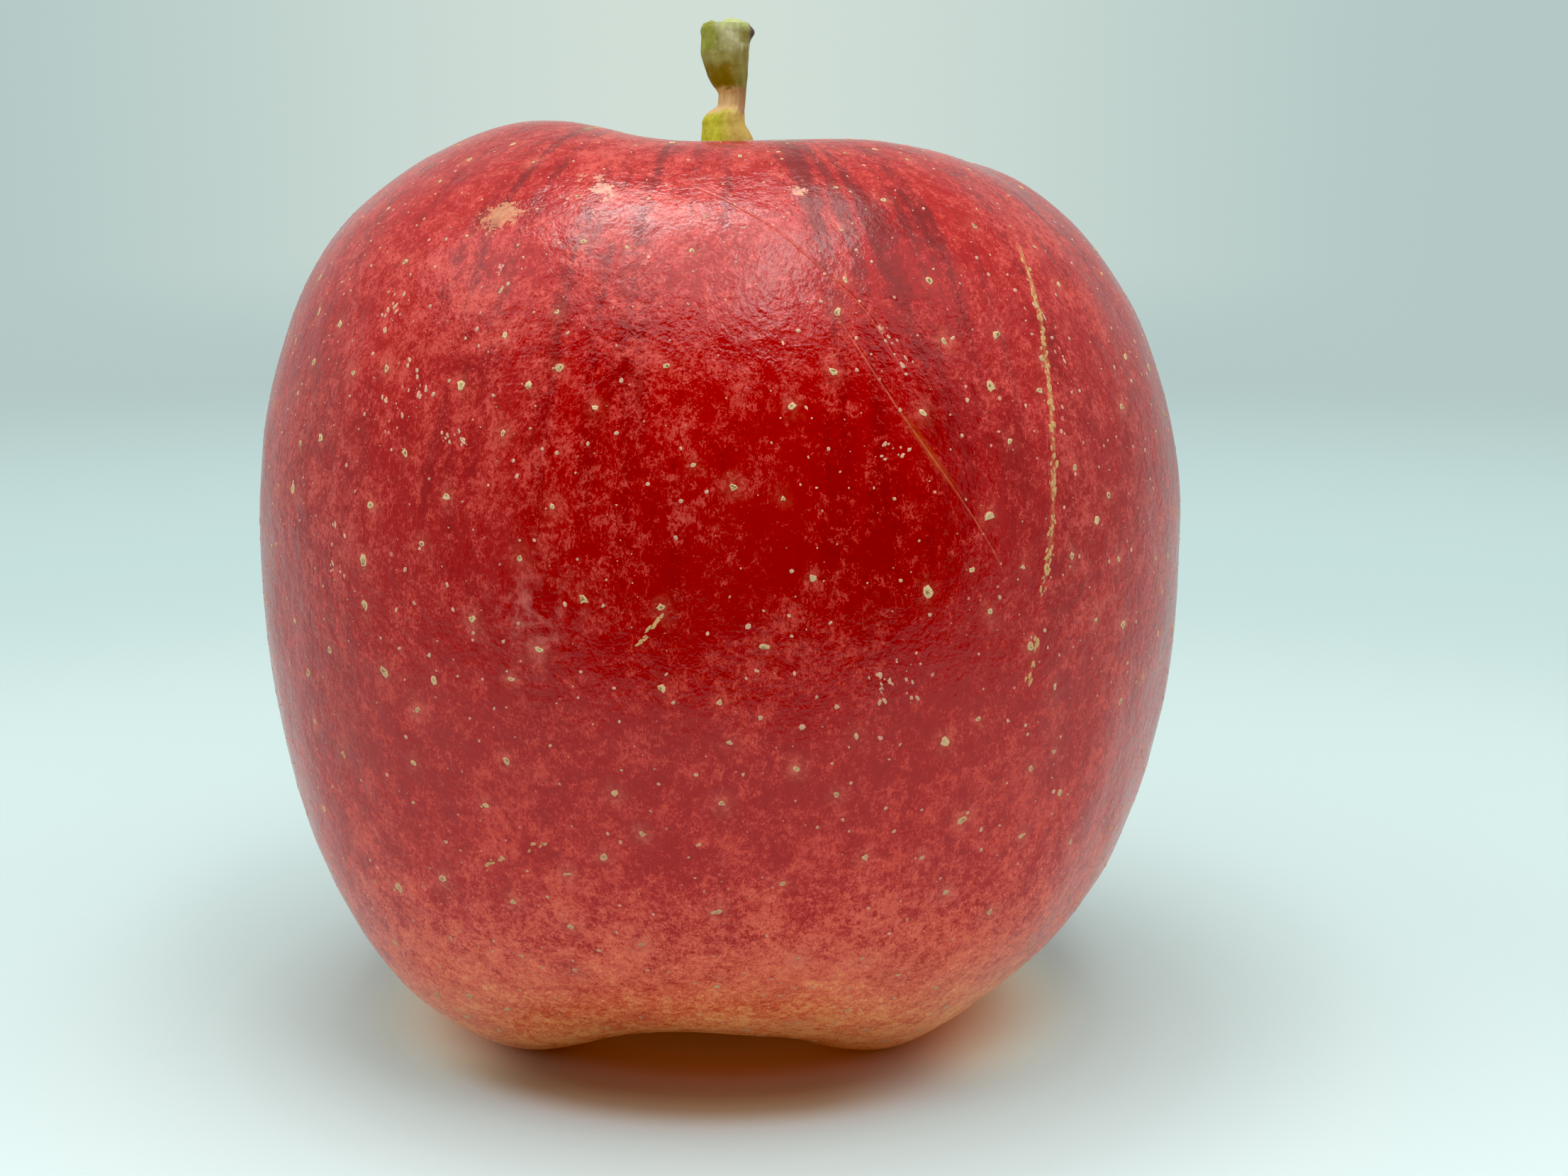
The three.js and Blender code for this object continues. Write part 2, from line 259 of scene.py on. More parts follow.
class Nodes:
    """Short names for the few node kinds that the materials use."""

    def __init__(self, name):
        self.material = bpy.data.materials.new(name)
        self.material.use_nodes = True
        self.tree = self.material.node_tree
        self.tree.nodes.clear()
        self.output = self.tree.nodes.new("ShaderNodeOutputMaterial")
        self.shader = self.tree.nodes.new("ShaderNodeBsdfPrincipled")
        self.link(self.shader.outputs[0], self.output.inputs["Surface"])
        self.place = self.tree.nodes.new("ShaderNodeTexCoord").outputs["Object"]

    @classmethod
    def over(cls, tree):
        """The same short names for a tree that is there already, such as the world's."""
        made = cls.__new__(cls)
        made.tree = tree
        made.place = tree.nodes.new("ShaderNodeTexCoord").outputs["Generated"]
        return made

    def link(self, source, target):
        self.tree.links.new(source, target)

    @staticmethod
    def opaque(value):
        """A plain colour with its alpha; anything else as it is."""
        return (*value, 1) if isinstance(value, tuple) else value

    def put(self, value, socket):
        if isinstance(value, bpy.types.NodeSocket):
            self.link(value, socket)
        else:
            socket.default_value = value

    def node(self, kind, inputs, output=0, **settings):
        """Adds a node with these settings, fills its input sockets and gives one of its outputs."""
        made = self.tree.nodes.new("ShaderNode" + kind)
        for name, value in settings.items():
            setattr(made, name, value)
        for socket, value in inputs.items():
            self.put(value, made.inputs[socket])
        return made.outputs[output]

    def math(self, operation, a, b=0.0):
        return self.node("Math", {0: a, 1: b}, operation=operation)

    def times(self, *values):
        return reduce(lambda a, b: self.math("MULTIPLY", a, b), values)

    def plus(self, *values):
        return reduce(lambda a, b: self.math("ADD", a, b), values)

    def minus(self, a, b):
        return self.math("SUBTRACT", a, b)

    def centred(self, value, amount):
        """A value from 0 to 1 as a push of up to half the amount either way."""
        return self.times(self.minus(value, 0.5), amount)

    def push(self, noises, weights):
        """The sum of the named noises, each centred on 0 and times its weight."""
        return self.plus(*(self.centred(noises[name], weight) for name, weight in weights.items()))

    def vector(self, operation, a, b=(0, 0, 0)):
        return self.node("VectorMath", {0: a, 1: b}, operation=operation)

    def split(self, vector):
        made = self.tree.nodes.new("ShaderNodeSeparateXYZ")
        self.link(vector, made.inputs[0])
        return made.outputs

    def join(self, x, y, z):
        return self.node("CombineXYZ", {0: x, 1: y, 2: z})

    def step(self, value, low, high, to_low=0.0, to_high=1.0):
        ends = {"From Min": low, "From Max": high, "To Min": to_low, "To Max": to_high}
        return self.node("MapRange", {"Value": value, **ends}, "Result", interpolation_type="SMOOTHSTEP")

    def band(self, value, rise, fall):
        """1 between two steps, given as where each starts and where it is full."""
        return self.times(self.step(value, *rise), self.step(value, *fall))

    def noise(self, vector, size, detail=2.0, roughness=0.5, distortion=0.0):
        """Noise whose coarsest features are about size metres across."""
        looks = {"Detail": detail, "Roughness": roughness, "Distortion": distortion}
        return self.node("TexNoise", {"Vector": vector, "Scale": 1 / size, **looks}, "Fac")

    def cells(self, vector, size):
        """Distance, in metres, to the nearest of scattered points, and that point's random colour."""
        made = self.tree.nodes.new("ShaderNodeTexVoronoi")
        self.link(vector, made.inputs["Vector"])
        made.inputs["Scale"].default_value = 1 / size
        return self.times(made.outputs["Distance"], size), made.outputs["Color"]

    def mix(self, share, a, b):
        colours = {6: self.opaque(a), 7: self.opaque(b)}
        return self.node("Mix", {"Factor": share, **colours}, 2, data_type="RGBA")

    def gain(self, colour, share, factor):
        """The colour times the factor where the share is 1, and unchanged where it is 0."""
        return self.vector("MULTIPLY", colour, self.mix(share, WHITE, factor))

    def value(self, name):
        return self.node("Attribute", {}, "Fac", attribute_name=name)

    def bump(self, height, distance, strength=1.0, under=None):
        inputs = {"Distance": distance, "Strength": strength, "Height": height}
        if under is not None:
            inputs["Normal"] = under
        return self.node("Bump", inputs, "Normal")

    def finish(self, **values):
        for name, value in values.items():
            self.put(self.opaque(value), self.shader.inputs[name.replace("_", " ")])
        return self.material


# ---- Places and marks on the skin ----

# The polar angles between which the skin's height only falls, and how finely it is looked up.
OUTSIDE_POLARS = (0.62, 2.6)
OUTSIDE_STEPS = 800


def outside_polar(azimuth_deg, height):
    """The polar angle at which the outer skin has this height, in millimetres."""
    polar = np.linspace(*OUTSIDE_POLARS, OUTSIDE_STEPS)
    heights = skin_point(polar, np.full_like(polar, math.radians(azimuth_deg)))[:, 2]
    return float(np.interp(-height, -heights, polar))


def path_on_skin(points, count):
    """A smooth path through (azimuth in degrees, height in mm), as polar and azimuth."""
    rows = [(outside_polar(a, h), math.radians(a)) for a, h in points]
    line = eased(rows, count)
    return line[:, 0], line[:, 1]


def distance_to_path(points, path, normals):
    """Signed distance across a path and the share of the way along it, for each point."""
    starts, ends = path[:-1], path[1:]
    ways = ends - starts
    lengths = np.linalg.norm(ways, axis=1)
    before = np.concatenate([[0], np.cumsum(lengths)])
    best = np.full(len(points), np.inf)
    signed = np.zeros(len(points))
    along = np.zeros(len(points))
    for k in range(len(starts)):
        offset = points - starts[k]
        share = np.clip(offset @ ways[k] / lengths[k] ** 2, 0, 1)
        away = offset - share[:, None] * ways[k]
        gap = np.linalg.norm(away, axis=1)
        side = np.sign(np.cross(ways[k], normals[k]) @ away.T)
        closer = gap < best
        best[closer] = gap[closer]
        signed[closer] = (gap * side)[closer]
        along[closer] = ((before[k] + share * lengths[k]) / before[-1])[closer]
    return signed, along


# Two fine scratches on the front right shoulder: azimuth in degrees, height in millimetres.
SCRATCHES = {
    "scratch_upper": [(264, 75), (271, 73.3), (278, 71), (283, 68.3), (287.5, 65.5), (291, 61.3)],
    "scratch_lower": [(283, 66), (288, 60.6), (292.2, 56.2), (296.5, 51.8), (300, 48.1), (302.5, 45)],
}
# The scratch that widens into a brownish smear part of the way down.
SMEARED_SCRATCH = "scratch_lower"
# A corky line down the right side, which breaks up towards its lower end.
RUSSET_LINE = [(316, 71), (314, 66.3), (312, 61), (310.3, 55.5), (309, 49.5), (307.6, 44.5), (306, 37.3)]
# Patches of russet on the crown and shoulders: azimuth, height, half length round the fruit and half
# length down it in mm, tilt in degrees, and how cream the patch is.
RUSSET_PATCHES = [
    (238.7, 72.0, 1.75, 1.25, 15, 0.1),
    (252.0, 74.1, 0.85, 0.60, 25, 0.9),
    (253.6, 73.3, 0.60, 0.35, 40, 0.9),
    (250.8, 76.5, 0.60, 0.42, 0, 0.7),
    (247.6, 76.6, 0.55, 0.35, 0, 0.1),
    (282.0, 74.0, 0.60, 0.45, 0, 0.8),
    (242.2, 68.3, 0.38, 0.38, 0, 0.9),
    (249.0, 67.9, 0.22, 0.50, 10, 0.9),
    (289.5, 64.0, 0.42, 0.42, 0, 0.7),
    (130.0, 70.0, 1.6, 1.2, 20, 0.2),
    (36.0, 60.0, 1.2, 0.8, -20, 0.6),
]
# A patch fades out at this many times its half length.
PATCH_FADE = 1.9
# A short corky nick left of the middle: ends as azimuth and height.
NICK = [(261.8, 41.9), (263.0, 43.0), (264.8, 44.3)]
# A faint dotted scar low on the left.
DOTTED_SCAR = [(242.0, 23.3), (250.5, 25.8)]
# Chains of small pale flecks on the left and right shoulders and low on the right.
FLECK_CHAINS = [
    [(227.5, 66.3), (227.0, 63.5)],
    [(232.5, 62.2), (233.6, 60.4), (234.2, 58.9)],
    [(229.4, 59.4), (231.0, 57.3), (230.8, 56.1)],
    [(239.4, 57.0), (240.6, 56.1)],
    [(288.6, 64.2), (290.6, 63.0), (292.5, 61.1)],
    [(287.6, 55.2), (289.5, 55.7)],
    [(289.0, 40.2), (290.6, 38.4), (291.4, 36.6)],
    [(286.6, 39.0), (287.6, 37.0)],
    [(312.5, 65.5), (315.5, 60.5)],
    [(222.0, 50.0), (223.5, 44.0)],
]
# Lines of grains: name, paths, count on each, spread, least and largest radius, stretch, gaps, seed.
GRAIN_LINES = [
    (
        "russet_line", [RUSSET_LINE], 230, 0.17, 0.06, 0.20, 1.3,
        [(0, 0.06), (0.63, 0.66), (0.7, 0.74), (0.86, 0.9), (0.93, 0.95)], 21,
    ),
    ("corky_nick", [NICK], 22, 0.04, 0.07, 0.17, 1.5, [], 23),
    ("dotted_scar", [DOTTED_SCAR], 16, 0.12, 0.08, 0.17, 1.2, [(0.4, 0.5)], 27),
    ("pale_flecks", FLECK_CHAINS, 11, 0.50, 0.04, 0.19, 1.25, [], 33),
]
# Where the red overlay is thinner, or with a minus denser: azimuth, height, radius in mm, amount.
BLUSHES = [
    (228, 58, 14, 0.40),
    (224, 74, 6, -1.1),
    (290, 18, 7, 0.35),
    (235, 43, 9, -0.45),
    (249, 38, 6, -0.5),
    (281, 34, 6, -0.4),
    (262, 53, 8, -0.45),
    (290, 50, 15, -0.85),
    (278, 38, 13, -0.35),
    (262, 12, 16, 0.3),
    (310, 22, 14, 0.25),
    (297, 72, 7, -1.1),
    (120, 45, 22, 0.5),
    (60, 60, 20, -0.5),
    (30, 25, 18, 0.3),
    (165, 30, 16, -0.3),
]
PALE_DENT = (250.4, 43.6, 3.2)
# Steps along a path, and how far from it, in mm, its distance is kept.
SCRATCH_STEPS = 60
RUSSET_LINE_STEPS = 80
PATH_REACH = 4


def on_skin(azimuth_deg, height):
    polar = outside_polar(azimuth_deg, height)
    return dressed_skin(np.array([polar]), np.array([math.radians(azimuth_deg)]))[0]


# ---- Skin ----

skin_polars = polars(SKIN_RINGS)


def place_skin(ring, azimuth):
    polar = np.full_like(azimuth, skin_polars[ring])
    return dressed_skin(polar, azimuth)


skin_points = lathe_points(SKIN_RINGS, SKIN_SEGMENTS, place_skin)
skin = make_mesh("fruit_skin", skin_points, lathe_faces(SKIN_RINGS, SKIN_SEGMENTS))
latitude = np.concatenate([[0.0], np.repeat(skin_polars[1:-1] / math.pi, SKIN_SEGMENTS), [1.0]])
add_values(skin, "latitude", latitude)


def soft(values, low, high):
    t = np.clip((values - low) / (high - low), 0, 1)
    return t * t * (3 - 2 * t)


def add_path(name, points, steps):
    """Gives each skin point its signed distance across a path and its share of the way along."""
    polar, azimuth = path_on_skin(points, steps)
    path = dressed_skin(polar, azimuth)
    signed, along = distance_to_path(skin_points, path, skin_normal(polar, azimuth))
    add_values(skin, name, np.clip(signed, -PATH_REACH, PATH_REACH))
    add_values(skin, name + "_along", along)


for name, points in SCRATCHES.items():
    add_path(name, points, SCRATCH_STEPS)


def patch_share(azimuth_deg, height, long, deep, tilt):
    """1 in the middle of a patch, falling evenly to 0 at nearly twice its size."""
    offset = skin_points - on_skin(azimuth_deg, height)
    around = math.radians(azimuth_deg)
    u = offset @ np.array([-math.sin(around), math.cos(around), 0.0])
    v = np.sqrt(np.maximum((offset**2).sum(axis=1) - u**2, 0)) * np.sign(offset[:, 2])
    c = math.cos(math.radians(tilt))
    s = math.sin(math.radians(tilt))
    return 1 - np.hypot((u * c + v * s) / long, (v * c - u * s) / deep) / PATCH_FADE


patches = np.zeros(len(skin_points))
creams = np.zeros(len(skin_points))
for *form, cream in RUSSET_PATCHES:
    share = patch_share(*form)
    creams = np.where(share > patches, cream, creams)
    patches = np.maximum(patches, share)
add_values(skin, "russet", patches)
add_values(skin, "cream", creams)

blush = np.zeros(len(skin_points))
for azimuth, height, radius, amount in BLUSHES:
    away = np.linalg.norm(skin_points - on_skin(azimuth, height), axis=1)
    blush += amount * np.exp(-((away / radius) ** 2))
add_values(skin, "blush", blush)

dent = np.linalg.norm(skin_points - on_skin(*PALE_DENT[:2]), axis=1)
add_values(skin, "dent", np.exp(-((dent / PALE_DENT[2]) ** 2)))

add_path("russet_line", RUSSET_LINE, RUSSET_LINE_STEPS)

# ---- Lenticels: small corky spots, set in the skin as low domes ----

LENTICELS = [
    # name, count, least spacing, least and largest radius, seed
    ("lenticels_large", 560, 3.2, 0.18, 0.36, 5),
    ("lenticels_small", 3000, 0.9, 0.05, 0.20, 9),
]
SMALL_TOWARDS_CROWN = 0.35
LENTICEL_SIDES = {"large": 8, "small": 6}
# How far a dome's middle dips, in mm.
DOME_DIMPLE = 0.004
# Share of the radius, height over the skin in mm, and how far towards the dark middle.
LENTICEL_RINGS = [
    (1.15, -0.07, 0.0),
    (1.15, 0.004, 0.0),
    (0.86, 0.026, 0.3),
    (0.5, 0.034, 0.65),
    (0.2, 0.016, 1.0),
]


# The polar angles between which spots are scattered, and how finely the skin is summed up there.
SCATTER_POLARS = (0.16, 2.9)
SCATTER_STEPS = 500
# Places tried for each spot that is wanted, and how far the spacing varies.
SCATTER_TRIES = 6
SPACING_RANGE = (0.7, 1.5)


def scatter(count, spacing, seed, weight):
    """Seeded places on the skin, by area and weight, no closer than the spacing."""
    random = np.random.default_rng(seed)
    grid = np.linspace(*SCATTER_POLARS, SCATTER_STEPS)
    middle = skin_point(grid, np.zeros_like(grid))
    run = np.linalg.norm(np.gradient(middle, axis=0), axis=1)
    girth = np.hypot(middle[:, 0] - AXIS_X, middle[:, 1])
    density = np.cumsum(run * girth * weight(grid))
    tries = count * SCATTER_TRIES
    polar = np.interp(random.uniform(0, density[-1], tries), density, grid)
    azimuth = random.uniform(0, TAU, tries)
    room = spacing * random.uniform(*SPACING_RANGE, tries)
    points = skin_point(polar, azimuth)
    kept = []
    for i in range(tries):
        if len(kept) == count:
            break
        if not kept or np.min(np.sum((points[kept] - points[i]) ** 2, axis=1)) > room[i] ** 2:
            kept.append(i)
    return polar[kept], azimuth[kept]


def dressed_frame(polar, azimuth):
    """Points on the dressed skin with their normals and two tangents."""
    step = 2e-3
    point = dressed_skin(polar, azimuth)
    east = dressed_skin(polar, azimuth + step) - dressed_skin(polar, azimuth - step)
    south = dressed_skin(polar + step, azimuth) - dressed_skin(polar - step, azimuth)
    east /= np.linalg.norm(east, axis=1, keepdims=True)
    normal = np.cross(south, east)
    normal /= np.linalg.norm(normal, axis=1, keepdims=True)
    return point, normal, east, np.cross(east, normal)


def ragged_ovals(random, radius, stretch, turn, sides):
    """How far east and south of its place, in mm, each corner of each spot lies."""
    count = len(radius)
    angle = TAU * np.arange(sides) / sides + random.uniform(0, TAU, (count, 1))
    ragged = 1 + 0.42 * random.normal(size=(count, sides)).clip(-1.2, 1.5)
    ragged = (ragged + 0.15 * np.roll(ragged, 1, 1) + 0.15 * np.roll(ragged, -1, 1)) / 1.3
    size = radius[:, None] * ragged
    u, v = np.cos(angle) * stretch[:, None], np.sin(angle) / stretch[:, None]
    c, s = np.cos(turn)[:, None], np.sin(turn)[:, None]
    return (u * c - v * s) * size, (u * s + v * c) * size


def corks(name, polar, azimuth, radius, stretch, turn, seed, fine=True):
    """Closed irregular low domes at the given places, as one mesh."""
    random = np.random.default_rng(seed)
    count = len(polar)
    sides = LENTICEL_SIDES["large" if fine else "small"]
    profile = LENTICEL_RINGS if fine else LENTICEL_RINGS[::2]
    point, normal, east, south = dressed_frame(polar, azimuth)
    right, down = ragged_ovals(random, radius, stretch, turn, sides)
    spoke = east[:, None] * right[..., None] + south[:, None] * down[..., None]
    lean = random.normal(size=(count, 2)) * radius[:, None] * 0.2
    drift = east * lean[:, :1] + south * lean[:, 1:]
    rings, cores = [], []
    for share, height, core in profile:
        middle = point[:, None] + drift[:, None] * (1 - share) + normal[:, None] * height
        rings.append(middle + spoke * share)
        cores.append(np.full((count, sides), core))
    low = point + normal * profile[0][1]
    high = point + drift + normal * (profile[-1][1] - DOME_DIMPLE)
    per = sides * len(profile) + 2
    points = np.concatenate([low[:, None], *rings, high[:, None]], axis=1)
    core = np.concatenate([np.zeros((count, 1)), *cores, np.ones((count, 1))], axis=1)
    dome = lathe_faces(len(profile) + 1, sides)
    faces = [tuple(i * per + v for v in face) for i in range(count) for face in dome]
    made = make_mesh(name, points.reshape(-1, 3), faces)
    add_values(made, "core", core)
    add_values(made, "tint", np.repeat(random.uniform(0, 1, count), per))
    add_values(made, "size", np.repeat(radius, per))
    add_values(made, "latitude", np.repeat(polar / math.pi, per))
    return made


def crown_heavy(polar):
    """How dense the small spots are by polar angle: more on the crown, fewer low down."""
    return 1 + 1.3 * np.exp(-((polar - 0.75) / 0.55) ** 2) - 0.45 * soft(polar, 1.9, 2.8)


def even(polar):
    """How dense the large spots are by polar angle: a little fewer on the crown and low down."""
    return 1 - 0.35 * np.exp(-((polar - 0.6) / 0.35) ** 2) - 0.3 * soft(polar, 2.2, 2.8)


# The pale ring round a large spot: its reach in mm, which doubles low on the fruit over these
# polar angles, how far it is worked out, and its strength.
HALO_REACH = 0.75
HALO_WIDENS = (1.9, 2.5)
HALO_FARTHEST = 2.6
HALO_STRENGTH = (0.25, 1)

cork_pieces = []
halo = np.zeros(len(skin_points))
for name, count, spacing, least, largest, seed in LENTICELS:
    random = np.random.default_rng(seed + 100)
    polar, azimuth = scatter(count, spacing, seed, even if "large" in name else crown_heavy)
    shrink = 1 - SMALL_TOWARDS_CROWN * np.exp(-((polar - 0.5) / 0.4) ** 2)
    radius = (least + (largest - least) * random.uniform(0, 1, len(polar)) ** 1.7) * shrink
    stretch = 1 + random.uniform(0, 0.28, len(polar)) ** 1.2
    turn = random.uniform(0, math.pi, len(polar))
    cork_pieces.append(corks(name, polar, azimuth, radius, stretch, turn, seed + 200, "large" in name))
    if "large" in name:
        for centre, at in zip(dressed_skin(polar, azimuth), polar):
            near = np.flatnonzero(np.abs(skin_points - centre).max(axis=1) < HALO_FARTHEST)
            away = np.linalg.norm(skin_points[near] - centre, axis=1)
            reach = HALO_REACH * (1 + soft(at, *HALO_WIDENS))
            glow = np.exp(-((away / reach) ** 2)) * random.uniform(*HALO_STRENGTH)
            halo[near] = np.maximum(halo[near], glow)
add_values(skin, "halo", halo)

GRAIN_STEPS = 199
# Millimetres on the skin for one radian down it and round it, roughly, at the grains' places.
MM_PER_POLAR = 45
MM_PER_AZIMUTH = 38


def grains_along(paths, count, across, least, largest, gaps, seed):
    """Places, radii and turns of grains strung along each path, thinning out where the gaps say so."""
    random = np.random.default_rng(seed)
    found = []
    for points in paths:
        polar, azimuth = path_on_skin(points, GRAIN_STEPS + 1)
        at = np.sort(random.uniform(0, 1, count))
        for low, high in gaps:
            at = at[(at < low) | (at > high)]
        i = np.minimum((at * GRAIN_STEPS).astype(int), GRAIN_STEPS - 1)
        t = at * GRAIN_STEPS - i
        down, round_ = np.diff(polar)[i], np.diff(azimuth)[i]
        p = polar[i] + down * t + random.normal(0, across, len(at)) / MM_PER_POLAR
        a = azimuth[i] + round_ * t + random.normal(0, across, len(at)) / MM_PER_AZIMUTH
        radius = random.uniform(least, largest, len(at))
        lean = np.arctan2(down * MM_PER_POLAR, round_ * MM_PER_AZIMUTH)
        found.append((p, a, radius, lean + random.normal(0, 0.25, len(at))))
    return [np.concatenate(column) for column in zip(*found)]


for name, paths, count, across, least, largest, stretch, gaps, seed in GRAIN_LINES:
    polar, azimuth, radius, turn = grains_along(paths, count, across, least, largest, gaps, seed)
    cork_pieces.append(corks(name, polar, azimuth, radius, np.full(len(polar), stretch), turn, seed + 1))

# ---- Stem ----

# Height, centre in X and Y, half width: near the solid's sections, with a squarer shoulder and end.
STEM_SECTIONS = [
    (62.6, 0.3, 0.0, 1.7),
    (65.0, 0.3, 0.0, 1.95),
    (67.5, 0.35, 0.0, 2.0),
    (71.0, 0.45, 0.05, 2.05),
    (74.5, 0.6, 0.1, 2.15),
    (76.9, 0.66, 0.1, 2.14),
    (77.9, 0.6, 0.1, 2.1),
    (78.5, 0.56, 0.05, 1.95),
    (79.1, 0.5, 0.0, 1.74),
    (79.6, 0.5, 0.0, 1.7),
    (80.05, 0.61, 0.0, 1.6),
    (80.35, 0.8, 0.0, 1.4),
    (80.65, 1.03, 0.0, 1.16),
    (81.2, 1.1, 0.0, 1.12),
    (81.7, 1.12, 0.0, 1.15),
    (82.1, 1.02, -0.05, 1.28),
    (82.5, 0.9, -0.05, 1.46),
    (83.2, 0.75, -0.1, 1.68),
    (84.1, 0.66, -0.1, 1.8),
    (85.1, 0.56, -0.1, 1.93),
    (86.1, 0.53, -0.1, 1.97),
    (87.1, 0.48, -0.1, 1.94),
    (87.65, 0.51, -0.1, 1.8),
]
STEM_SIDE_RINGS = 240
STEM_TOP_RINGS = 12
STEM_SEGMENTS = 96
# Knots: share of the radius, how many round the stem, and how they turn with the height.
STEM_KNOTS = (0.07, 3, 0.35)
# Growths on the stem: height, azimuth in degrees, push outwards, spread along and round, in mm.
STEM_GROWTHS = [
    (77.4, 10, 0.22, 1.0, 1.4),
    (79.3, 178, 0.14, 0.5, 1.3),
    (76.0, 250, 0.3, 1.4, 1.2),
    (84.9, 190, 0.22, 1.2, 1.4),
    (86.9, 2, 0.52, 0.55, 0.8),
    (87.0, 150, 0.22, 0.7, 1.0),
    (72.0, 80, 0.25, 1.8, 1.3),
]
# Grooves: how many round the stem, depth in mm, and how they turn with the height.
STEM_GROOVES = [(9, 0.05, 0.9), (17, 0.028, -1.6), (31, 0.012, 2.1)]

stem_rows = eased(STEM_SECTIONS, STEM_SIDE_RINGS + 1)


def stem_ring(azimuth, height, centre_x, centre_y, half, inward=1.0):
    knots = STEM_KNOTS[0] * np.cos(STEM_KNOTS[1] * azimuth + STEM_KNOTS[2] * height)
    radius = half * (1 + knots)
    for waves, depth, twist in STEM_GROOVES:
        radius = radius + depth * np.sin(waves * azimuth + twist * height + waves)
    for at, degrees, push, along, around in STEM_GROWTHS:
        arc = (azimuth - math.radians(degrees) + math.pi) % TAU - math.pi
        radius = radius + push * np.exp(-(((height - at) / along) ** 2) - ((arc * half / around) ** 2))
    return round_axis(azimuth, radius * inward, height, centre_x, centre_y)


def place_stem(ring, azimuth):
    if ring <= STEM_SIDE_RINGS:
        height, x, y, half = stem_rows[ring]
        return stem_ring(azimuth, height, x, y, half, 0 if ring == 0 else 1)
    inward = 1 - (ring - STEM_SIDE_RINGS) / STEM_TOP_RINGS
    height, x, y, half = stem_rows[-1]
    points = stem_ring(azimuth, height, x, y, half, inward)
    across, deep = points[:, 0] - x, points[:, 1] - y
    rim = soft(np.array(1 - inward), 0, 0.35)
    uneven = (
        0.34 * np.exp(-(((across - 0.55) / 0.75) ** 2) - ((deep - 0.5) / 0.9) ** 2)
        + 0.12 * np.exp(-(((across + 1.35) / 0.4) ** 2) - ((deep + 0.2) / 0.9) ** 2)
        - 0.22 * np.exp(-(((across + 0.55) / 0.4) ** 2) - ((deep + 0.3) / 1.1) ** 2)
        + 0.05 * np.sin(5 * across + 3 * deep)
        + 0.03 * np.sin(11 * deep - 6 * across)
    )
    points[:, 2] += 0.12 * rim + uneven * (0.35 + 0.65 * rim)
    return points


stem_rings = STEM_SIDE_RINGS + STEM_TOP_RINGS
stem = make_mesh(
    "stem_wood",
    lathe_points(stem_rings, STEM_SEGMENTS, place_stem),
    [tuple(reversed(f)) for f in lathe_faces(stem_rings, STEM_SEGMENTS)],
)

# ---- Calyx ----

# Radius and height, from the plug in the flesh down and in to the cup's floor.
CUP_PROFILE = [
    (0, 13.2), (1.9, 13.2), (2.3, 12.6), (2.4, 9.3), (3.6, 8.7),
    (3.9, 8.1), (3.4, 7.5), (2.2, 7.7), (0.9, 8.4), (0, 8.5),
]
CUP_CENTRE_X = -0.65
CUP_SEGMENTS = 96
CUP_RINGS = 60
# Each sepal's azimuth in degrees, its length and width in mm and how much it curls.
SEPALS = [
    (250, 6.4, 3.3, 1.05),
    (322, 5.8, 3.1, 0.75),
    (34, 6.6, 3.4, 1.2),
    (106, 5.6, 3.0, 0.6),
    (178, 6.1, 3.2, 0.9),
]
SEPAL_ROOT = (2.7, 8.0)
SEPAL_THICKNESS = 0.4
SEPAL_DIP = 0.95
SEPAL_CUP = 0.55
SEPAL_TIP_SHARE = 0.05
SEPAL_STEPS = (40, 18)
SEPAL_SEED = 60
SEPAL_PART = 0.5
STAMEN_COUNT = 13
STAMEN_RING = 1.5
STAMEN_FOOT = 8.5
STAMEN_LENGTH = 3.4
STYLE_COUNT = 5
STYLE_TURN = 0.4
# Radius and height of a style's foot and of its end.
STYLE_FOOT = (0.35, 8.7)
STYLE_END = (0.8, 5.9)
# A thread's radius, how much wider its knob is, and its value for the material.
STAMEN_LOOK = (0.13, 2.2, 1.0)
STYLE_LOOK = (0.16, 1.5, 0.8)

calyx_points, calyx_faces, calyx_parts = [], [], []


def add_calyx(points, faces, part):
    start = sum(len(p) for p in calyx_points)
    calyx_points.append(np.asarray(points))
    calyx_faces.extend(tuple(start + v for v in f) for f in faces)
    calyx_parts.append(np.full(len(points), part))


def place_cup(ring, azimuth):
    radius, height = cup_rows[ring]
    wrinkle = 1 + 0.03 * np.sin(10 * azimuth + height) + 0.018 * np.sin(23 * azimuth - 2 * height)
    radius = 0 if ring in (0, CUP_RINGS) else max(radius, 0.02) * wrinkle
    return round_axis(azimuth, radius, height, CUP_CENTRE_X)


cup_rows = eased(CUP_PROFILE, CUP_RINGS + 1)
add_calyx(lathe_points(CUP_RINGS, CUP_SEGMENTS, place_cup), lathe_faces(CUP_RINGS, CUP_SEGMENTS), 0.0)


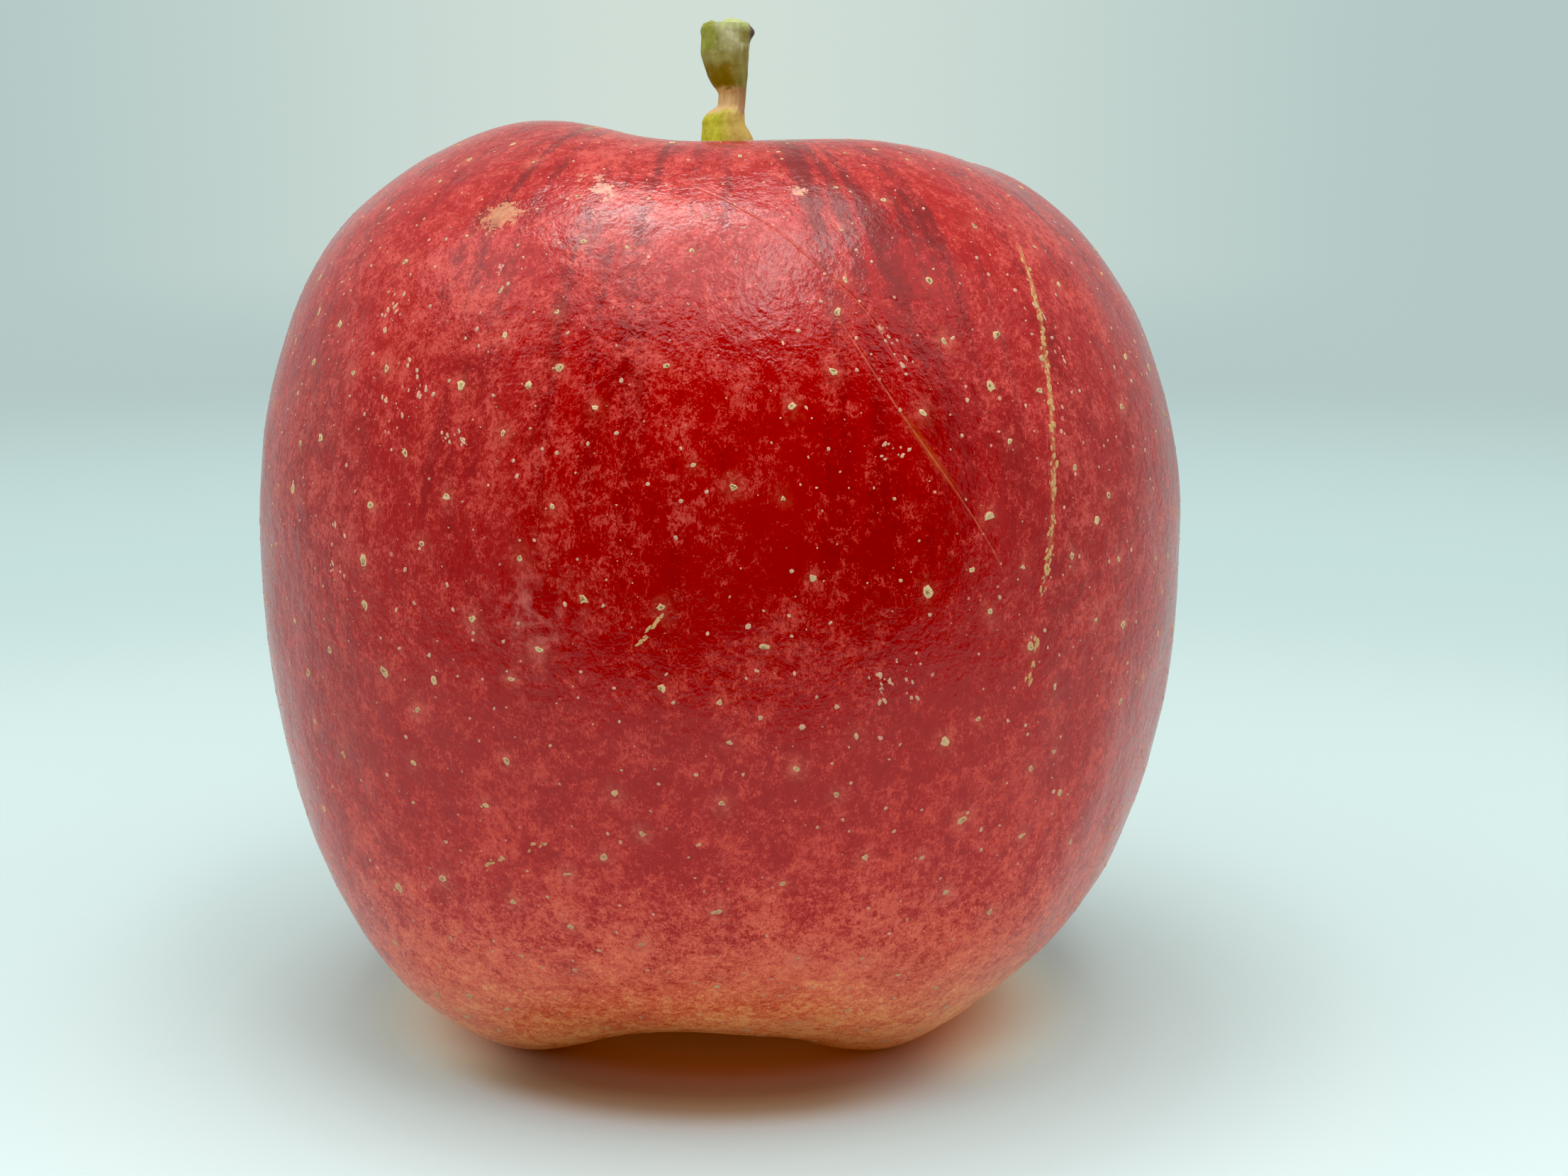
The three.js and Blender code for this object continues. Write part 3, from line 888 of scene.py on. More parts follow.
def sepal_points(degrees, length, width, curl, seed):
    """The upper and the lower sheet of a dry, creased sepal that curls down into the basin."""
    random = np.random.default_rng(seed)
    steps, sides = SEPAL_STEPS
    along, across = np.meshgrid(np.linspace(0, 1, steps + 1), np.linspace(-1, 1, sides + 1), indexing="ij")
    phase = random.uniform(0, TAU, 6)
    slope = SEPAL_DIP * along + curl * along**2
    half = width / 2 * (SEPAL_TIP_SHARE + (1 - SEPAL_TIP_SHARE) * (1 - along**2))
    half = half * (1 + 0.08 * np.sin(9 * along + phase[0]))
    shared = length * along * np.sin(slope)
    out = SEPAL_ROOT[0] + shared / np.maximum(slope, 1e-6)
    down = SEPAL_ROOT[1] - shared / 2 - SEPAL_CUP * along * across**2
    side = across * half + 0.28 * along**2 * np.sin(phase[1])
    crease = 0.09 * np.sin(7 * across + phase[2] + 2 * along)
    crease = crease + 0.06 * np.sin(15 * along + phase[3] + 3 * across)
    crease = crease + 0.16 * along * np.sin(4 * across + 5 * along + phase[4])
    crease = crease * np.clip(along * 4, 0, 1)
    thick = SEPAL_THICKNESS / 2 * (1 - 0.62 * along) * (1 - 0.55 * across**4)
    a = math.radians(degrees)
    sheets = []
    for lift in (crease + thick, crease - thick):
        r = out + lift * np.sin(slope)
        z = down + lift * np.cos(slope)
        x = CUP_CENTRE_X + r * math.cos(a) - side * math.sin(a)
        y = r * math.sin(a) + side * math.cos(a)
        sheets.append(np.stack([x, y, z], axis=-1).reshape(-1, 3))
    return np.concatenate(sheets)


def sheet_faces(steps, sides):
    """Quads over the upper sheet, under the lower one and along the edges between them."""
    count = (steps + 1) * (sides + 1)

    def at(i, j, sheet):
        return sheet * count + i * (sides + 1) + j

    faces = []
    for i in range(steps):
        for j in range(sides):
            faces.append((at(i, j, 0), at(i + 1, j, 0), at(i + 1, j + 1, 0), at(i, j + 1, 0)))
            faces.append((at(i, j, 1), at(i, j + 1, 1), at(i + 1, j + 1, 1), at(i + 1, j, 1)))
        faces.append((at(i, 0, 0), at(i, 0, 1), at(i + 1, 0, 1), at(i + 1, 0, 0)))
        faces.append((at(i, sides, 0), at(i + 1, sides, 0), at(i + 1, sides, 1), at(i, sides, 1)))
    for j in range(sides):
        faces.append((at(0, j, 0), at(0, j + 1, 0), at(0, j + 1, 1), at(0, j, 1)))
        faces.append((at(steps, j, 0), at(steps, j, 1), at(steps, j + 1, 1), at(steps, j + 1, 0)))
    return faces


sepal_faces = sheet_faces(*SEPAL_STEPS)
for number, sepal in enumerate(SEPALS):
    add_calyx(sepal_points(*sepal, SEPAL_SEED + number), sepal_faces, SEPAL_PART)


def add_thread(foot, top, radius, knob, part):
    """A thin thread with a small knob at its end."""
    foot, top = np.asarray(foot, float), np.asarray(top, float)
    way = (top - foot) / np.linalg.norm(top - foot)
    side = np.cross(way, (0.0, 1.0, 0.3))
    side /= np.linalg.norm(side)
    other = np.cross(way, side)
    rows = [(0, 0), (0, 1.5), (0.3, 1.1), (0.75, 0.9), (0.86, 1.0), (0.92, knob), (0.98, knob * 0.8), (1, 0)]
    angle = TAU * np.arange(8) / 8
    points = []
    for share, wide in rows[1:-1]:
        ring = np.cos(angle)[:, None] * side + np.sin(angle)[:, None] * other
        points.append(foot + (top - foot) * share + ring * radius * wide)
    points = np.concatenate([[foot], *points, [top]])
    add_calyx(points, lathe_faces(len(rows) - 1, 8), part)


def round_cup(azimuth, radius, height):
    """A point round the cup's axis."""
    return CUP_CENTRE_X + radius * math.cos(azimuth), radius * math.sin(azimuth), height


thread_random = np.random.default_rng(77)
for number in range(STAMEN_COUNT):
    azimuth = TAU * (number + thread_random.uniform(-0.25, 0.25)) / STAMEN_COUNT
    ring = STAMEN_RING + thread_random.uniform(-0.2, 0.25)
    splay = thread_random.uniform(0.1, 1.3)
    length = STAMEN_LENGTH * thread_random.uniform(0.7, 1.05)
    wander = azimuth + thread_random.uniform(-0.4, 0.4)
    end = round_cup(wander, ring + splay, STAMEN_FOOT - length)
    add_thread(round_cup(azimuth, ring, STAMEN_FOOT), end, *STAMEN_LOOK)
for number in range(STYLE_COUNT):
    azimuth = TAU * number / STYLE_COUNT + STYLE_TURN
    add_thread(round_cup(azimuth, *STYLE_FOOT), round_cup(azimuth, *STYLE_END), *STYLE_LOOK)

calyx = make_mesh("calyx_dry", np.concatenate(calyx_points), calyx_faces)
add_values(calyx, "part", np.concatenate(calyx_parts))

# ---- Materials ----

DEEP_RED = (0.318, 0.0002, 0.0002)
MID_RED = (0.380, 0.0020, 0.0016)
FELT_RED = (0.535, 0.0570, 0.0430)
DARK_STREAK = (0.150, 0.0005, 0.0012)
# The ground's orange and yellow: partly the skin's own colour, partly painted bounce light from the floor.
ORANGE_GROUND_AND_BOUNCE = (0.880, 0.1900, 0.0900)
YELLOW_GROUND_AND_BOUNCE = (0.930, 0.4600, 0.1650)
CAVITY_RUSSET = (0.400, 0.1950, 0.0750)
CAVITY_DARK_RUSSET = (0.230, 0.1000, 0.0380)
CAVITY_GREEN = (0.300, 0.2500, 0.0480)
CAVITY_LIME = (0.480, 0.3700, 0.0850)
RUSSET_TAN = (0.530, 0.2050, 0.0880)
HALO_PINK = (0.600, 0.1300, 0.0850)
DENT_PINK = (0.560, 0.1500, 0.1300)
PALE_DOT = (0.760, 0.3800, 0.2900)
SMEAR = (0.400, 0.0480, 0.0060)
SCRATCH_LINE = (0.540, 0.1000, 0.0450)
RUSSET_BED = (0.600, 0.2200, 0.0850)
CREAM = (0.720, 0.3600, 0.2600)
LOW_CORK = (0.560, 0.2300, 0.1150)
CORK_EDGE = (0.500, 0.1000, 0.0650)

# The skin's noises: what they follow, size in metres, detail, roughness and distortion.
SKIN_NOISES = {
    "broad": ("streaks", 0.008, 4.0, 0.62, 0.35),
    "fine": ("streaks", 0.0021, 4.0, 0.68, 0.5),
    "clouds": ("skin", 0.013, 3.0, 0.55, 0.3),
    "mottle": ("skin", 0.0023, 5.0, 0.70, 0.4),
    "felt": ("skin", 0.0007, 3.0, 0.75, 0.8),
    "thread": ("threads", 0.00030, 3.0, 0.8, 1.5),
}
# Streaks run down the meridians: the way round the axis counts fully, the height little.
STREAK_ROUND, STREAK_DOWN = 0.04, 0.12
THREAD_DOWN = 0.6
# How strongly each noise pushes a layer.
THIN_WEIGHTS = {"clouds": 1.2, "mottle": 2.5, "felt": 2.2, "thread": 3.4}
STREAK_WEIGHTS = {"broad": -3.8, "fine": -2.4, "mottle": -1.5, "felt": -0.8, "thread": -1.2}
RAY_WEIGHTS = {"broad": 0.17, "fine": 0.08, "mottle": 0.06}
PATCH_WEIGHTS = {"felt": 1.3, "thread": 0.8}

# Steps by latitude, which is 0 at the stem and 1 at the calyx: where each starts and is full, and
# for some its value at both ends.
THIN_BELOW = (0.46, 0.84, 0.0, 0.40)
THIN_ABOVE = (0.40, 0.22, 0.0, 0.07)
SHOULDER_PAINTED_LIGHT_BAND = (0.14, 0.23), (0.42, 0.28)
WAIST_PAINTED_SHADE_BAND = (0.46, 0.54), (0.70, 0.60)
LOWER_PAINTED_LIGHT_BAND = (0.50, 0.74)
STREAK_REACH = (0.6, 0.2, 0.12, 1.0)
ORANGE_EDGE = (0.63, 0.84, 0.0, 0.80)
YELLOW_EDGE = (0.76, 0.88, 0.0, 0.80)
CAVITY_EDGE = (0.122, 0.065, 0.0, 0.88)
RUST_EDGE = (0.092, 0.066)
# Painted light and shade on the red: the shoulders, which face the roof lights, are painted lighter; the
# waist is painted with less green and blue, against the wax's pale reflection there; and the lower part is
# painted lighter for bounce light, since the floor lights the skin's underside less than a real one would.
SHOULDER_PAINTED_LIGHT = (1.10, 1.10, 1.10)
WAIST_PAINTED_SHADE = (1.00, 0.78, 0.64)
LOWER_PAINTED_LIGHT = (1.19, 1.00, 0.94)

# The red overlay: how thin it is on the whole, what a blush adds, and the steps to lighter reds.
THIN_START = -0.24
BLUSH_SHARE = 0.35
MID_STEP = (-0.45, 0.05)
FELT_STEP = (-0.42, 0.60)
BARE_SHARE = 0.085
# Dark streaks close up where a blush is denser than this.
DENSE_BLUSH = -0.8
DENSE_GAIN = 1.1
STREAK_STEP = (-0.05, 0.85, 0.0, 0.84)
# Where the felt's threads leave gaps.
FELT_GAPS = (0.3, 0.7)
# Tiny dots: spacing, largest radius and raggedness in metres, and the noise that crowds them.
DOT_SPACING, DOT_RADIUS, DOT_RAGGED = 0.0013, 0.00019, 0.0002
DOT_CROWDS = (0.006, 2.0, 0.6)
# Unevenness under the wax: noise, and depth in metres. The scratches' grooves are shallower.
WAX_BUMPS = [((0.0016, 3.0, 0.6), 0.00012), ((0.00050, 2.0, 0.60, 0.6), 0.000045)]
GROOVE_DEPTH = 0.00003


def skin_noises(n):
    x, y, z = n.split(n.place)
    round_x, round_y, _ = n.split(n.vector("NORMALIZE", n.join(x, y, 0.0)))
    round_x, round_y = n.times(round_x, STREAK_ROUND), n.times(round_y, STREAK_ROUND)
    places = {
        "skin": n.place,
        "streaks": n.join(round_x, round_y, n.times(z, STREAK_DOWN)),
        "threads": n.join(x, y, n.times(z, THREAD_DOWN)),
    }
    return {name: n.noise(places[place], *form) for name, (place, *form) in SKIN_NOISES.items()}


def red_overlay(n, noises, latitude, blush):
    """The red, which thins to a felt of fine light threads, and how thin it is."""
    thin = n.plus(
        n.push(noises, THIN_WEIGHTS),
        n.step(latitude, *THIN_BELOW),
        n.times(blush, BLUSH_SHARE),
        THIN_START,
        n.step(latitude, *THIN_ABOVE),
    )
    red = n.mix(n.step(thin, *MID_STEP), DEEP_RED, MID_RED)
    red = n.mix(n.step(thin, *FELT_STEP), red, FELT_RED)
    # Painted light: lighter shoulders and lower part, and less green and blue at the waist as painted shade.
    red = n.gain(red, n.band(latitude, *SHOULDER_PAINTED_LIGHT_BAND), SHOULDER_PAINTED_LIGHT)
    red = n.gain(red, n.band(latitude, *WAIST_PAINTED_SHADE_BAND), WAIST_PAINTED_SHADE)
    return n.gain(red, n.step(latitude, *LOWER_PAINTED_LIGHT_BAND), LOWER_PAINTED_LIGHT), thin


def dark_streaks(n, noises, latitude, blush):
    """How strong the dark streaks below the crown are, broken up by the felt."""
    dense = n.math("MAXIMUM", n.minus(DENSE_BLUSH, blush), 0.0)
    streak = n.plus(n.push(noises, STREAK_WEIGHTS), n.times(dense, DENSE_GAIN))
    return n.times(n.step(streak, *STREAK_STEP), n.step(latitude, *STREAK_REACH))


def cavity_colours(n, noises, latitude, red):
    """Green rays run down into the stem cavity, which has tan russet at its bottom."""
    rays = n.push(noises, RAY_WEIGHTS)
    speckle = n.centred(noises["mottle"], 0.8)
    green = n.mix(n.step(n.plus(noises["fine"], speckle), 0.35, 0.65), CAVITY_LIME, CAVITY_GREEN)
    tan = n.mix(n.step(n.plus(noises["felt"], speckle), 0.35, 0.65), CAVITY_RUSSET, CAVITY_DARK_RUSSET)
    red = n.mix(n.step(n.plus(latitude, rays), *CAVITY_EDGE), red, green)
    rust = n.step(n.minus(latitude, rays), *RUST_EDGE)
    return n.mix(n.times(rust, n.step(noises["felt"], *FELT_GAPS, 0.60, 0.95)), red, tan)


def soft_marks(n, noises, red):
    """Pale rings round the corky spots, the soft dent, and a dusting of tiny dots."""
    halo = n.times(n.value("halo"), n.step(noises["felt"], *FELT_GAPS, 0.1, 0.7))
    red = n.mix(halo, red, HALO_PINK)
    dent = n.times(n.value("dent"), n.step(noises["mottle"], 0.42, 0.62, 0.0, 0.5))
    red = n.mix(dent, red, DENT_PINK)
    gap, tone = n.cells(n.place, DOT_SPACING)
    size_tone, strength_tone, _ = n.split(tone)
    crowd = n.step(n.noise(n.place, *DOT_CROWDS), 0.45, 0.62, 0.35, 1.0)
    size = n.times(n.step(size_tone, 0.5, 1.0), crowd, DOT_RADIUS)
    dots = n.math("LESS_THAN", n.plus(gap, n.centred(noises["thread"], DOT_RAGGED)), size)
    return n.mix(n.times(dots, n.step(strength_tone, 0.0, 1.0, 0.3, 0.8)), red, PALE_DOT)


def russet_marks(n, noises, red):
    """Russet patches and the bed of the corky line, and how strong the patches are."""
    russet = n.value("russet")
    patch = n.step(n.plus(russet, n.push(noises, PATCH_WEIGHTS)), 0.42, 0.56)
    patch = n.times(patch, n.step(russet, 0.0, 0.2))
    cork = n.mix(n.value("cream"), RUSSET_TAN, CREAM)
    red = n.mix(n.times(patch, n.step(noises["felt"], 0.35, 0.65, 0.5, 0.92)), red, cork)
    away = n.plus(n.math("ABSOLUTE", n.value("russet_line")), n.centred(noises["felt"], 0.5))
    broken = n.step(noises["mottle"], 0.38, 0.56, 0.10, 0.80)
    ends = n.band(n.value("russet_line_along"), (0.0, 0.14), (0.85, 0.50))
    return n.mix(n.times(n.step(away, 0.36, 0.06), broken, ends), red, RUSSET_BED), patch


def scratches(n, noises, red):
    """Thin light lines that fade at their ends, and the shallow grooves they lie in."""
    grooves = []
    for name in SCRATCHES:
        across = n.math("ABSOLUTE", n.value(name))
        along = n.value(name + "_along")
        ends = n.band(along, (0.0, 0.18), (1.0, 0.86))
        if name == SMEARED_SCRATCH:
            smear = n.times(n.step(across, 0.45, 0.1), n.band(along, (0.34, 0.46), (0.72, 0.52)))
            red = n.mix(n.times(smear, n.step(noises["felt"], 0.3, 0.6, 0.3, 0.7)), red, SMEAR)
        line = n.times(n.step(across, 0.08, 0.02), ends)
        line = n.times(line, n.step(noises["felt"], *FELT_GAPS, 0.2, 0.9))
        red = n.mix(line, red, SCRATCH_LINE)
        grooves.append(n.times(n.step(across, 0.14, 0.0), ends))
    return red, n.plus(*grooves)


def skin_material():
    n = Nodes("apple_skin")
    noises = skin_noises(n)
    latitude, blush = n.value("latitude"), n.value("blush")
    red, thin = red_overlay(n, noises, latitude, blush)
    red = n.mix(dark_streaks(n, noises, latitude, blush), red, DARK_STREAK)
    # The ground colour shows through towards the calyx; its orange and yellow are also lighter than the
    # skin's own, as painted light for the floor's bounce under the fruit.
    bare = n.plus(latitude, n.times(thin, BARE_SHARE))
    red = n.mix(n.step(bare, *ORANGE_EDGE), red, ORANGE_GROUND_AND_BOUNCE)
    red = n.mix(n.step(bare, *YELLOW_EDGE), red, YELLOW_GROUND_AND_BOUNCE)
    red = cavity_colours(n, noises, latitude, red)
    red = soft_marks(n, noises, red)
    red, patch = russet_marks(n, noises, red)
    red, groove = scratches(n, noises, red)

    normal = None
    for form, depth in WAX_BUMPS:
        normal = n.bump(n.noise(n.place, *form), depth, under=normal)
    normal = n.bump(n.minus(1.0, groove), GROOVE_DEPTH, under=normal)
    wax = n.step(noises["mottle"], 0.3, 0.7, 0.16, 0.27)
    return n.finish(
        Base_Color=red,
        Roughness=n.plus(wax, n.times(patch, 0.25)),
        Normal=normal,
        Specular_IOR_Level=0.46,
    )


def cork_material(name, rim, middle, dark_share):
    """Cream to tan cork that darkens, unevenly, towards the middle of each spot."""
    n = Nodes(name)
    core = n.value("core")
    tint = n.value("tint")
    grain = n.noise(n.place, 0.00018, 2.0, 0.7)
    colour = n.mix(n.step(tint, 0.0, 1.0), rim, tuple(0.78 * c for c in rim))
    colour = n.mix(n.step(grain, 0.56, 0.42, 0.0, 0.6), colour, tuple(0.5 * c for c in rim))
    dark = n.step(n.plus(n.times(core, 0.45), n.times(grain, 1.6)), 1.05, 1.25)
    colour = n.mix(n.times(dark, n.step(tint, 0.0, 0.5, 0.4, dark_share)), colour, middle)
    lower = n.step(n.value("latitude"), 0.40, 0.70)
    colour = n.mix(n.times(lower, 0.55), colour, LOW_CORK)
    edge = n.step(n.plus(core, n.times(grain, 0.2)), 0.34, 0.08)
    colour = n.mix(n.times(edge, 0.85), colour, CORK_EDGE)
    return n.finish(Base_Color=colour, Roughness=0.62, Specular_IOR_Level=0.4)


# Colours of the stem, from the foot up.
FOOT_BROWN = (0.24, 0.130, 0.040)
LIME = (0.52, 0.48, 0.025)
GOLD = (0.57, 0.37, 0.090)
NECK_LIGHT = (0.76, 0.47, 0.220)
NECK_DARK = (0.38, 0.19, 0.090)
OLIVE_BROWN = (0.24, 0.150, 0.007)
OLIVE = (0.25, 0.205, 0.045)
BELLY_GREEN = (0.34, 0.300, 0.085)
GREY_GREEN = (0.40, 0.370, 0.165)
TOP_GREEN = (0.28, 0.290, 0.030)
TOP_PALE = (0.55, 0.53, 0.33)
TIP_GREEN = (0.46, 0.52, 0.20)
BURNT = (0.07, 0.040, 0.030)
GRAIN_DARK = (0.12, 0.080, 0.020)
# The neck, knob and belly: over which heights in mm each begins, its colours at the left and the
# right, and where across the stem they meet.
STEM_BANDS = [
    ((79.8, 80.6), NECK_LIGHT, NECK_DARK, (0.5, 1.8)),
    ((81.9, 82.5), OLIVE_BROWN, OLIVE, (0.2, 1.9)),
    ((83.7, 84.6), BELLY_GREEN, OLIVE, (0.2, 1.4)),
]
FOOT_FADE = (74.5, 68.5, 0.0, 0.7)
TOP_START = (84.9, 85.9)
TIP_START = (86.9, 87.7)
BURNT_START = (85.8, 86.5)
BURNT_RIGHT = (2.35, 2.8)
# The stem leans right by this much at its end, and its blotches move the colours' edges, in mm.
STEM_MIDDLE = 0.2
BLOTCH_SHIFT = 2.2


def stem_material():
    n = Nodes("apple_stem")
    x, y, z = n.split(n.place)
    right = n.times(x, 1 / MM)
    blotch = n.noise(n.place, 0.0011, 4.0, 0.6, 0.4)
    grain = n.noise(n.join(x, y, n.times(z, 0.2)), 0.0003, 4.0, 0.65)
    shift = n.centred(blotch, BLOTCH_SHIFT)
    up = n.plus(n.times(z, 1 / MM), shift)
    across = n.plus(n.minus(right, STEM_MIDDLE), n.times(shift, 0.5))

    colour = n.mix(n.step(across, -0.9, 1.3), LIME, GOLD)
    for start, left_colour, right_colour, meet in STEM_BANDS:
        band = n.mix(n.step(across, *meet), left_colour, right_colour)
        colour = n.mix(n.step(up, *start), colour, band)
    high = n.mix(n.step(across, -0.9, 0.4), TOP_GREEN, GREY_GREEN)
    high = n.mix(n.step(across, 0.9, 2.0), high, OLIVE)
    pale = n.step(n.noise(n.place, 0.0009, 3.0, 0.55), 0.40, 0.72, 0.0, 0.8)
    high = n.mix(n.times(pale, n.step(across, -1.0, -0.2)), high, TOP_PALE)
    colour = n.mix(n.step(up, *TOP_START), colour, high)
    tip = n.times(n.step(up, *TIP_START), n.step(across, -0.6, 0.4, 0.0, 0.7))
    colour = n.mix(tip, colour, TIP_GREEN)
    colour = n.mix(n.times(n.step(right, *BURNT_RIGHT), n.step(up, *BURNT_START)), colour, BURNT)
    colour = n.mix(n.step(up, *FOOT_FADE), colour, FOOT_BROWN)
    colour = n.mix(n.step(grain, 0.35, 0.7, 0.2, 0.0), colour, GRAIN_DARK)

    normal = n.bump(grain, 0.00002, 0.8)
    normal = n.bump(n.noise(n.place, 0.0012, 2.0, 0.5), 0.0003, 0.8, under=normal)
    return n.finish(
        Base_Color=colour,
        Roughness=n.step(blotch, 0.3, 0.7, 0.5, 0.72),
        Normal=normal,
        Specular_IOR_Level=0.4,
    )


def calyx_material():
    n = Nodes("apple_calyx")
    part = n.value("part")
    grain = n.noise(n.place, 0.0004, 5.0, 0.65, 0.6)
    blotch = n.noise(n.place, 0.0018, 3.0, 0.6)
    brown = n.mix(n.step(blotch, 0.35, 0.65), (0.085, 0.042, 0.018), (0.22, 0.140, 0.060))
    brown = n.mix(n.step(grain, 0.52, 0.78, 0.0, 0.6), brown, (0.36, 0.300, 0.190))
    thread = n.mix(n.step(grain, 0.4, 0.7), (0.10, 0.050, 0.020), (0.30, 0.190, 0.080))
    colour = n.mix(n.step(part, 0.6, 0.75), brown, thread)
    normal = n.bump(grain, 0.00008, 0.9)
    return n.finish(
        Base_Color=colour, Roughness=0.85, Normal=normal, Specular_IOR_Level=0.3,
        Sheen_Weight=0.25, Sheen_Roughness=0.6,
    )


skin.data.materials.append(skin_material())
large_cork = cork_material("lenticel_large", (0.76, 0.54, 0.28), (0.200, 0.100, 0.025), 1.0)
small_cork = cork_material("lenticel_small", (0.76, 0.42, 0.29), (0.46, 0.230, 0.120), 0.4)
gold_cork = cork_material("russet_cork", (0.68, 0.38, 0.15), (0.40, 0.170, 0.050), 0.3)
PIECE_CORKS = {
    "lenticels_large": large_cork,
    "lenticels_small": small_cork,
    "pale_flecks": small_cork,
}
for made in cork_pieces:
    made.data.materials.append(PIECE_CORKS.get(made.name, gold_cork))
stem.data.materials.append(stem_material())
calyx.data.materials.append(calyx_material())

# ---- Frame: every piece rides on the one body ----

slots = {"skin": [skin, *cork_pieces], "stem": [stem], "calyx": [calyx]}
for slot_name, pieces in slots.items():
    for made in pieces:
        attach(made, "root")
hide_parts("fruit")
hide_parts("stem")
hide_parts("calyx")

# ---- Floor, light and camera ----

FLOOR_RADIUS = 6.0
FLOOR_SIDES = 96
# Floor tones, and the steps between them by depth or by distance from the fruit's axis, in metres. The floor
# is painted lighter towards the front, as painted light.
FLOOR_NEAR = (0.535, 0.637, 0.636)
FLOOR_FRONT_PAINTED_LIGHT = (0.620, 0.715, 0.720)
PAINTED_FRONT_LIGHT_STEP = (0.02, -0.10)
FAR_STEP = (0.13, 0.27)
WALL_FOOT = (0.575, 0.755, 0.735)
WALL_STEP = (0.22, 0.60)
TENT_LEVEL = (0.462, 0.590, 0.575)
TENT_TOP = (0.550, 0.620, 0.600)
TENT_TOP_STEP = (0.15, 0.75)
GLOW = (0.640, 0.735, 0.680)
# The glow on the tent's back wall: its middle and side as a slope from the eye, and its distance.
GLOW_MIDDLE, GLOW_SIDE, GLOW_EYE = -0.01, 0.34, -0.20
GLOW_NEAREST = 0.01
GLOW_DEPTH = (0.2, 0.5)
GLOW_FLOOR_STEP = (0.5, 1.5)
# Painted shadow under the fruit: the floor just under it is darkened and tinted warm, as if by light that
# comes through and off the skin; and a faint painted glow, which the floor gives off itself, brightens it
# there.
PAINTED_WARM_SHADOW = (1.0, 0.220, 0.050)
PAINTED_WARM_SHADOW_STEP = (0.034, 0.015)
PAINTED_UNDER_GLOW = (0.040, 0.021, 0.012)
PAINTED_UNDER_GLOW_STEP = (0.023, 0.014)
# The front of the shadow is darker: its ring round the axis, its depth and where it ends at the right.
SHADE_FRONT = (0.72, 0.60, 0.44)
SHADE_FRONT_RING = (0.0305, 0.0260), (0.0200, 0.0240)
SHADE_FRONT_DEPTH = (-0.012, -0.022)
SHADE_FRONT_RIGHT = (0.019, 0.006)
# The sides of the shadow are lighter.
SHADE_SIDES = (1.45, 1.60, 1.48)
SHADE_SIDES_START = (0.014, 0.022)
SHADE_SIDES_REACH = (0.0345, 0.026)
SHADE_SIDES_DEPTH = (-0.026, -0.014)


def glow_share(n, x, y):
    """How strong the glow is along a level way out of the tent's middle."""
    deep = n.minus(y, GLOW_EYE)
    slope = n.math("DIVIDE", x, n.math("MAXIMUM", deep, GLOW_NEAREST))
    side = n.math("ABSOLUTE", n.minus(slope, GLOW_MIDDLE))
    return n.times(n.step(side, GLOW_SIDE, 0.0), n.step(deep, *GLOW_DEPTH))


def floor_material():
    n = Nodes("pale_floor")
    x, y, _ = n.split(n.place)
    away = n.math("SQRT", n.plus(n.times(x, x), n.times(y, y)))
    # Painted light: the floor is lighter in front of the fruit than near it.
    colour = n.mix(n.step(y, *PAINTED_FRONT_LIGHT_STEP), FLOOR_NEAR, FLOOR_FRONT_PAINTED_LIGHT)
    # Painted shadow: the floor darkens and warms towards the fruit's foot.
    colour = n.gain(colour, n.step(away, *PAINTED_WARM_SHADOW_STEP), PAINTED_WARM_SHADOW)
    front = n.times(
        n.band(away, *SHADE_FRONT_RING), n.step(y, *SHADE_FRONT_DEPTH), n.step(x, *SHADE_FRONT_RIGHT)
    )
    colour = n.gain(colour, front, SHADE_FRONT)
    side = n.times(
        n.step(n.math("ABSOLUTE", x), *SHADE_SIDES_START),
        n.step(away, *SHADE_SIDES_REACH),
        n.step(y, *SHADE_SIDES_DEPTH),
    )
    colour = n.gain(colour, side, SHADE_SIDES)
    far = n.step(away, *FAR_STEP)
    wall = n.mix(n.step(away, *WALL_STEP), WALL_FOOT, TENT_LEVEL)
    wall = n.mix(n.times(glow_share(n, x, y), n.step(away, *GLOW_FLOOR_STEP)), wall, GLOW)
    # Painted glow: the floor gives off a faint warm light under the fruit.
    painted_glow = n.mix(n.step(away, *PAINTED_UNDER_GLOW_STEP), BLACK, PAINTED_UNDER_GLOW)
    return n.finish(
        Base_Color=n.mix(far, colour, BLACK),
        Roughness=0.9,
        Specular_IOR_Level=0.0,
        Emission_Color=n.vector("ADD", n.mix(far, BLACK, wall), painted_glow),
        Emission_Strength=1.0,
    )


def stage_mesh(name, points, faces, material):
    """A plain mesh for the stage, in metres."""
    mesh = bpy.data.meshes.new(name)
    mesh.from_pydata(points, [], faces)
    mesh.materials.append(material)
    return put_in_scene(name, mesh)


floor_angles = [TAU * i / FLOOR_SIDES for i in range(FLOOR_SIDES)]
floor_ring = [(FLOOR_RADIUS * math.cos(a), FLOOR_RADIUS * math.sin(a), 0) for a in floor_angles]
floor_faces = [(0, 1 + i, 1 + (i + 1) % FLOOR_SIDES) for i in range(FLOOR_SIDES)]
floor = stage_mesh("floor", [(0, 0, 0), *floor_ring], floor_faces, floor_material())

# The dark mouth of the light tent, seen only in the wax of the skin. It fades in from its edges.
MOUTH_SIDES = (-0.56, 0.56)
MOUTH_LEFT_FADE = (-0.56, -0.04)
MOUTH_RIGHT_FADE = (0.56, 0.34)
MOUTH_FLOOR_FADE = (-0.06, -0.24)
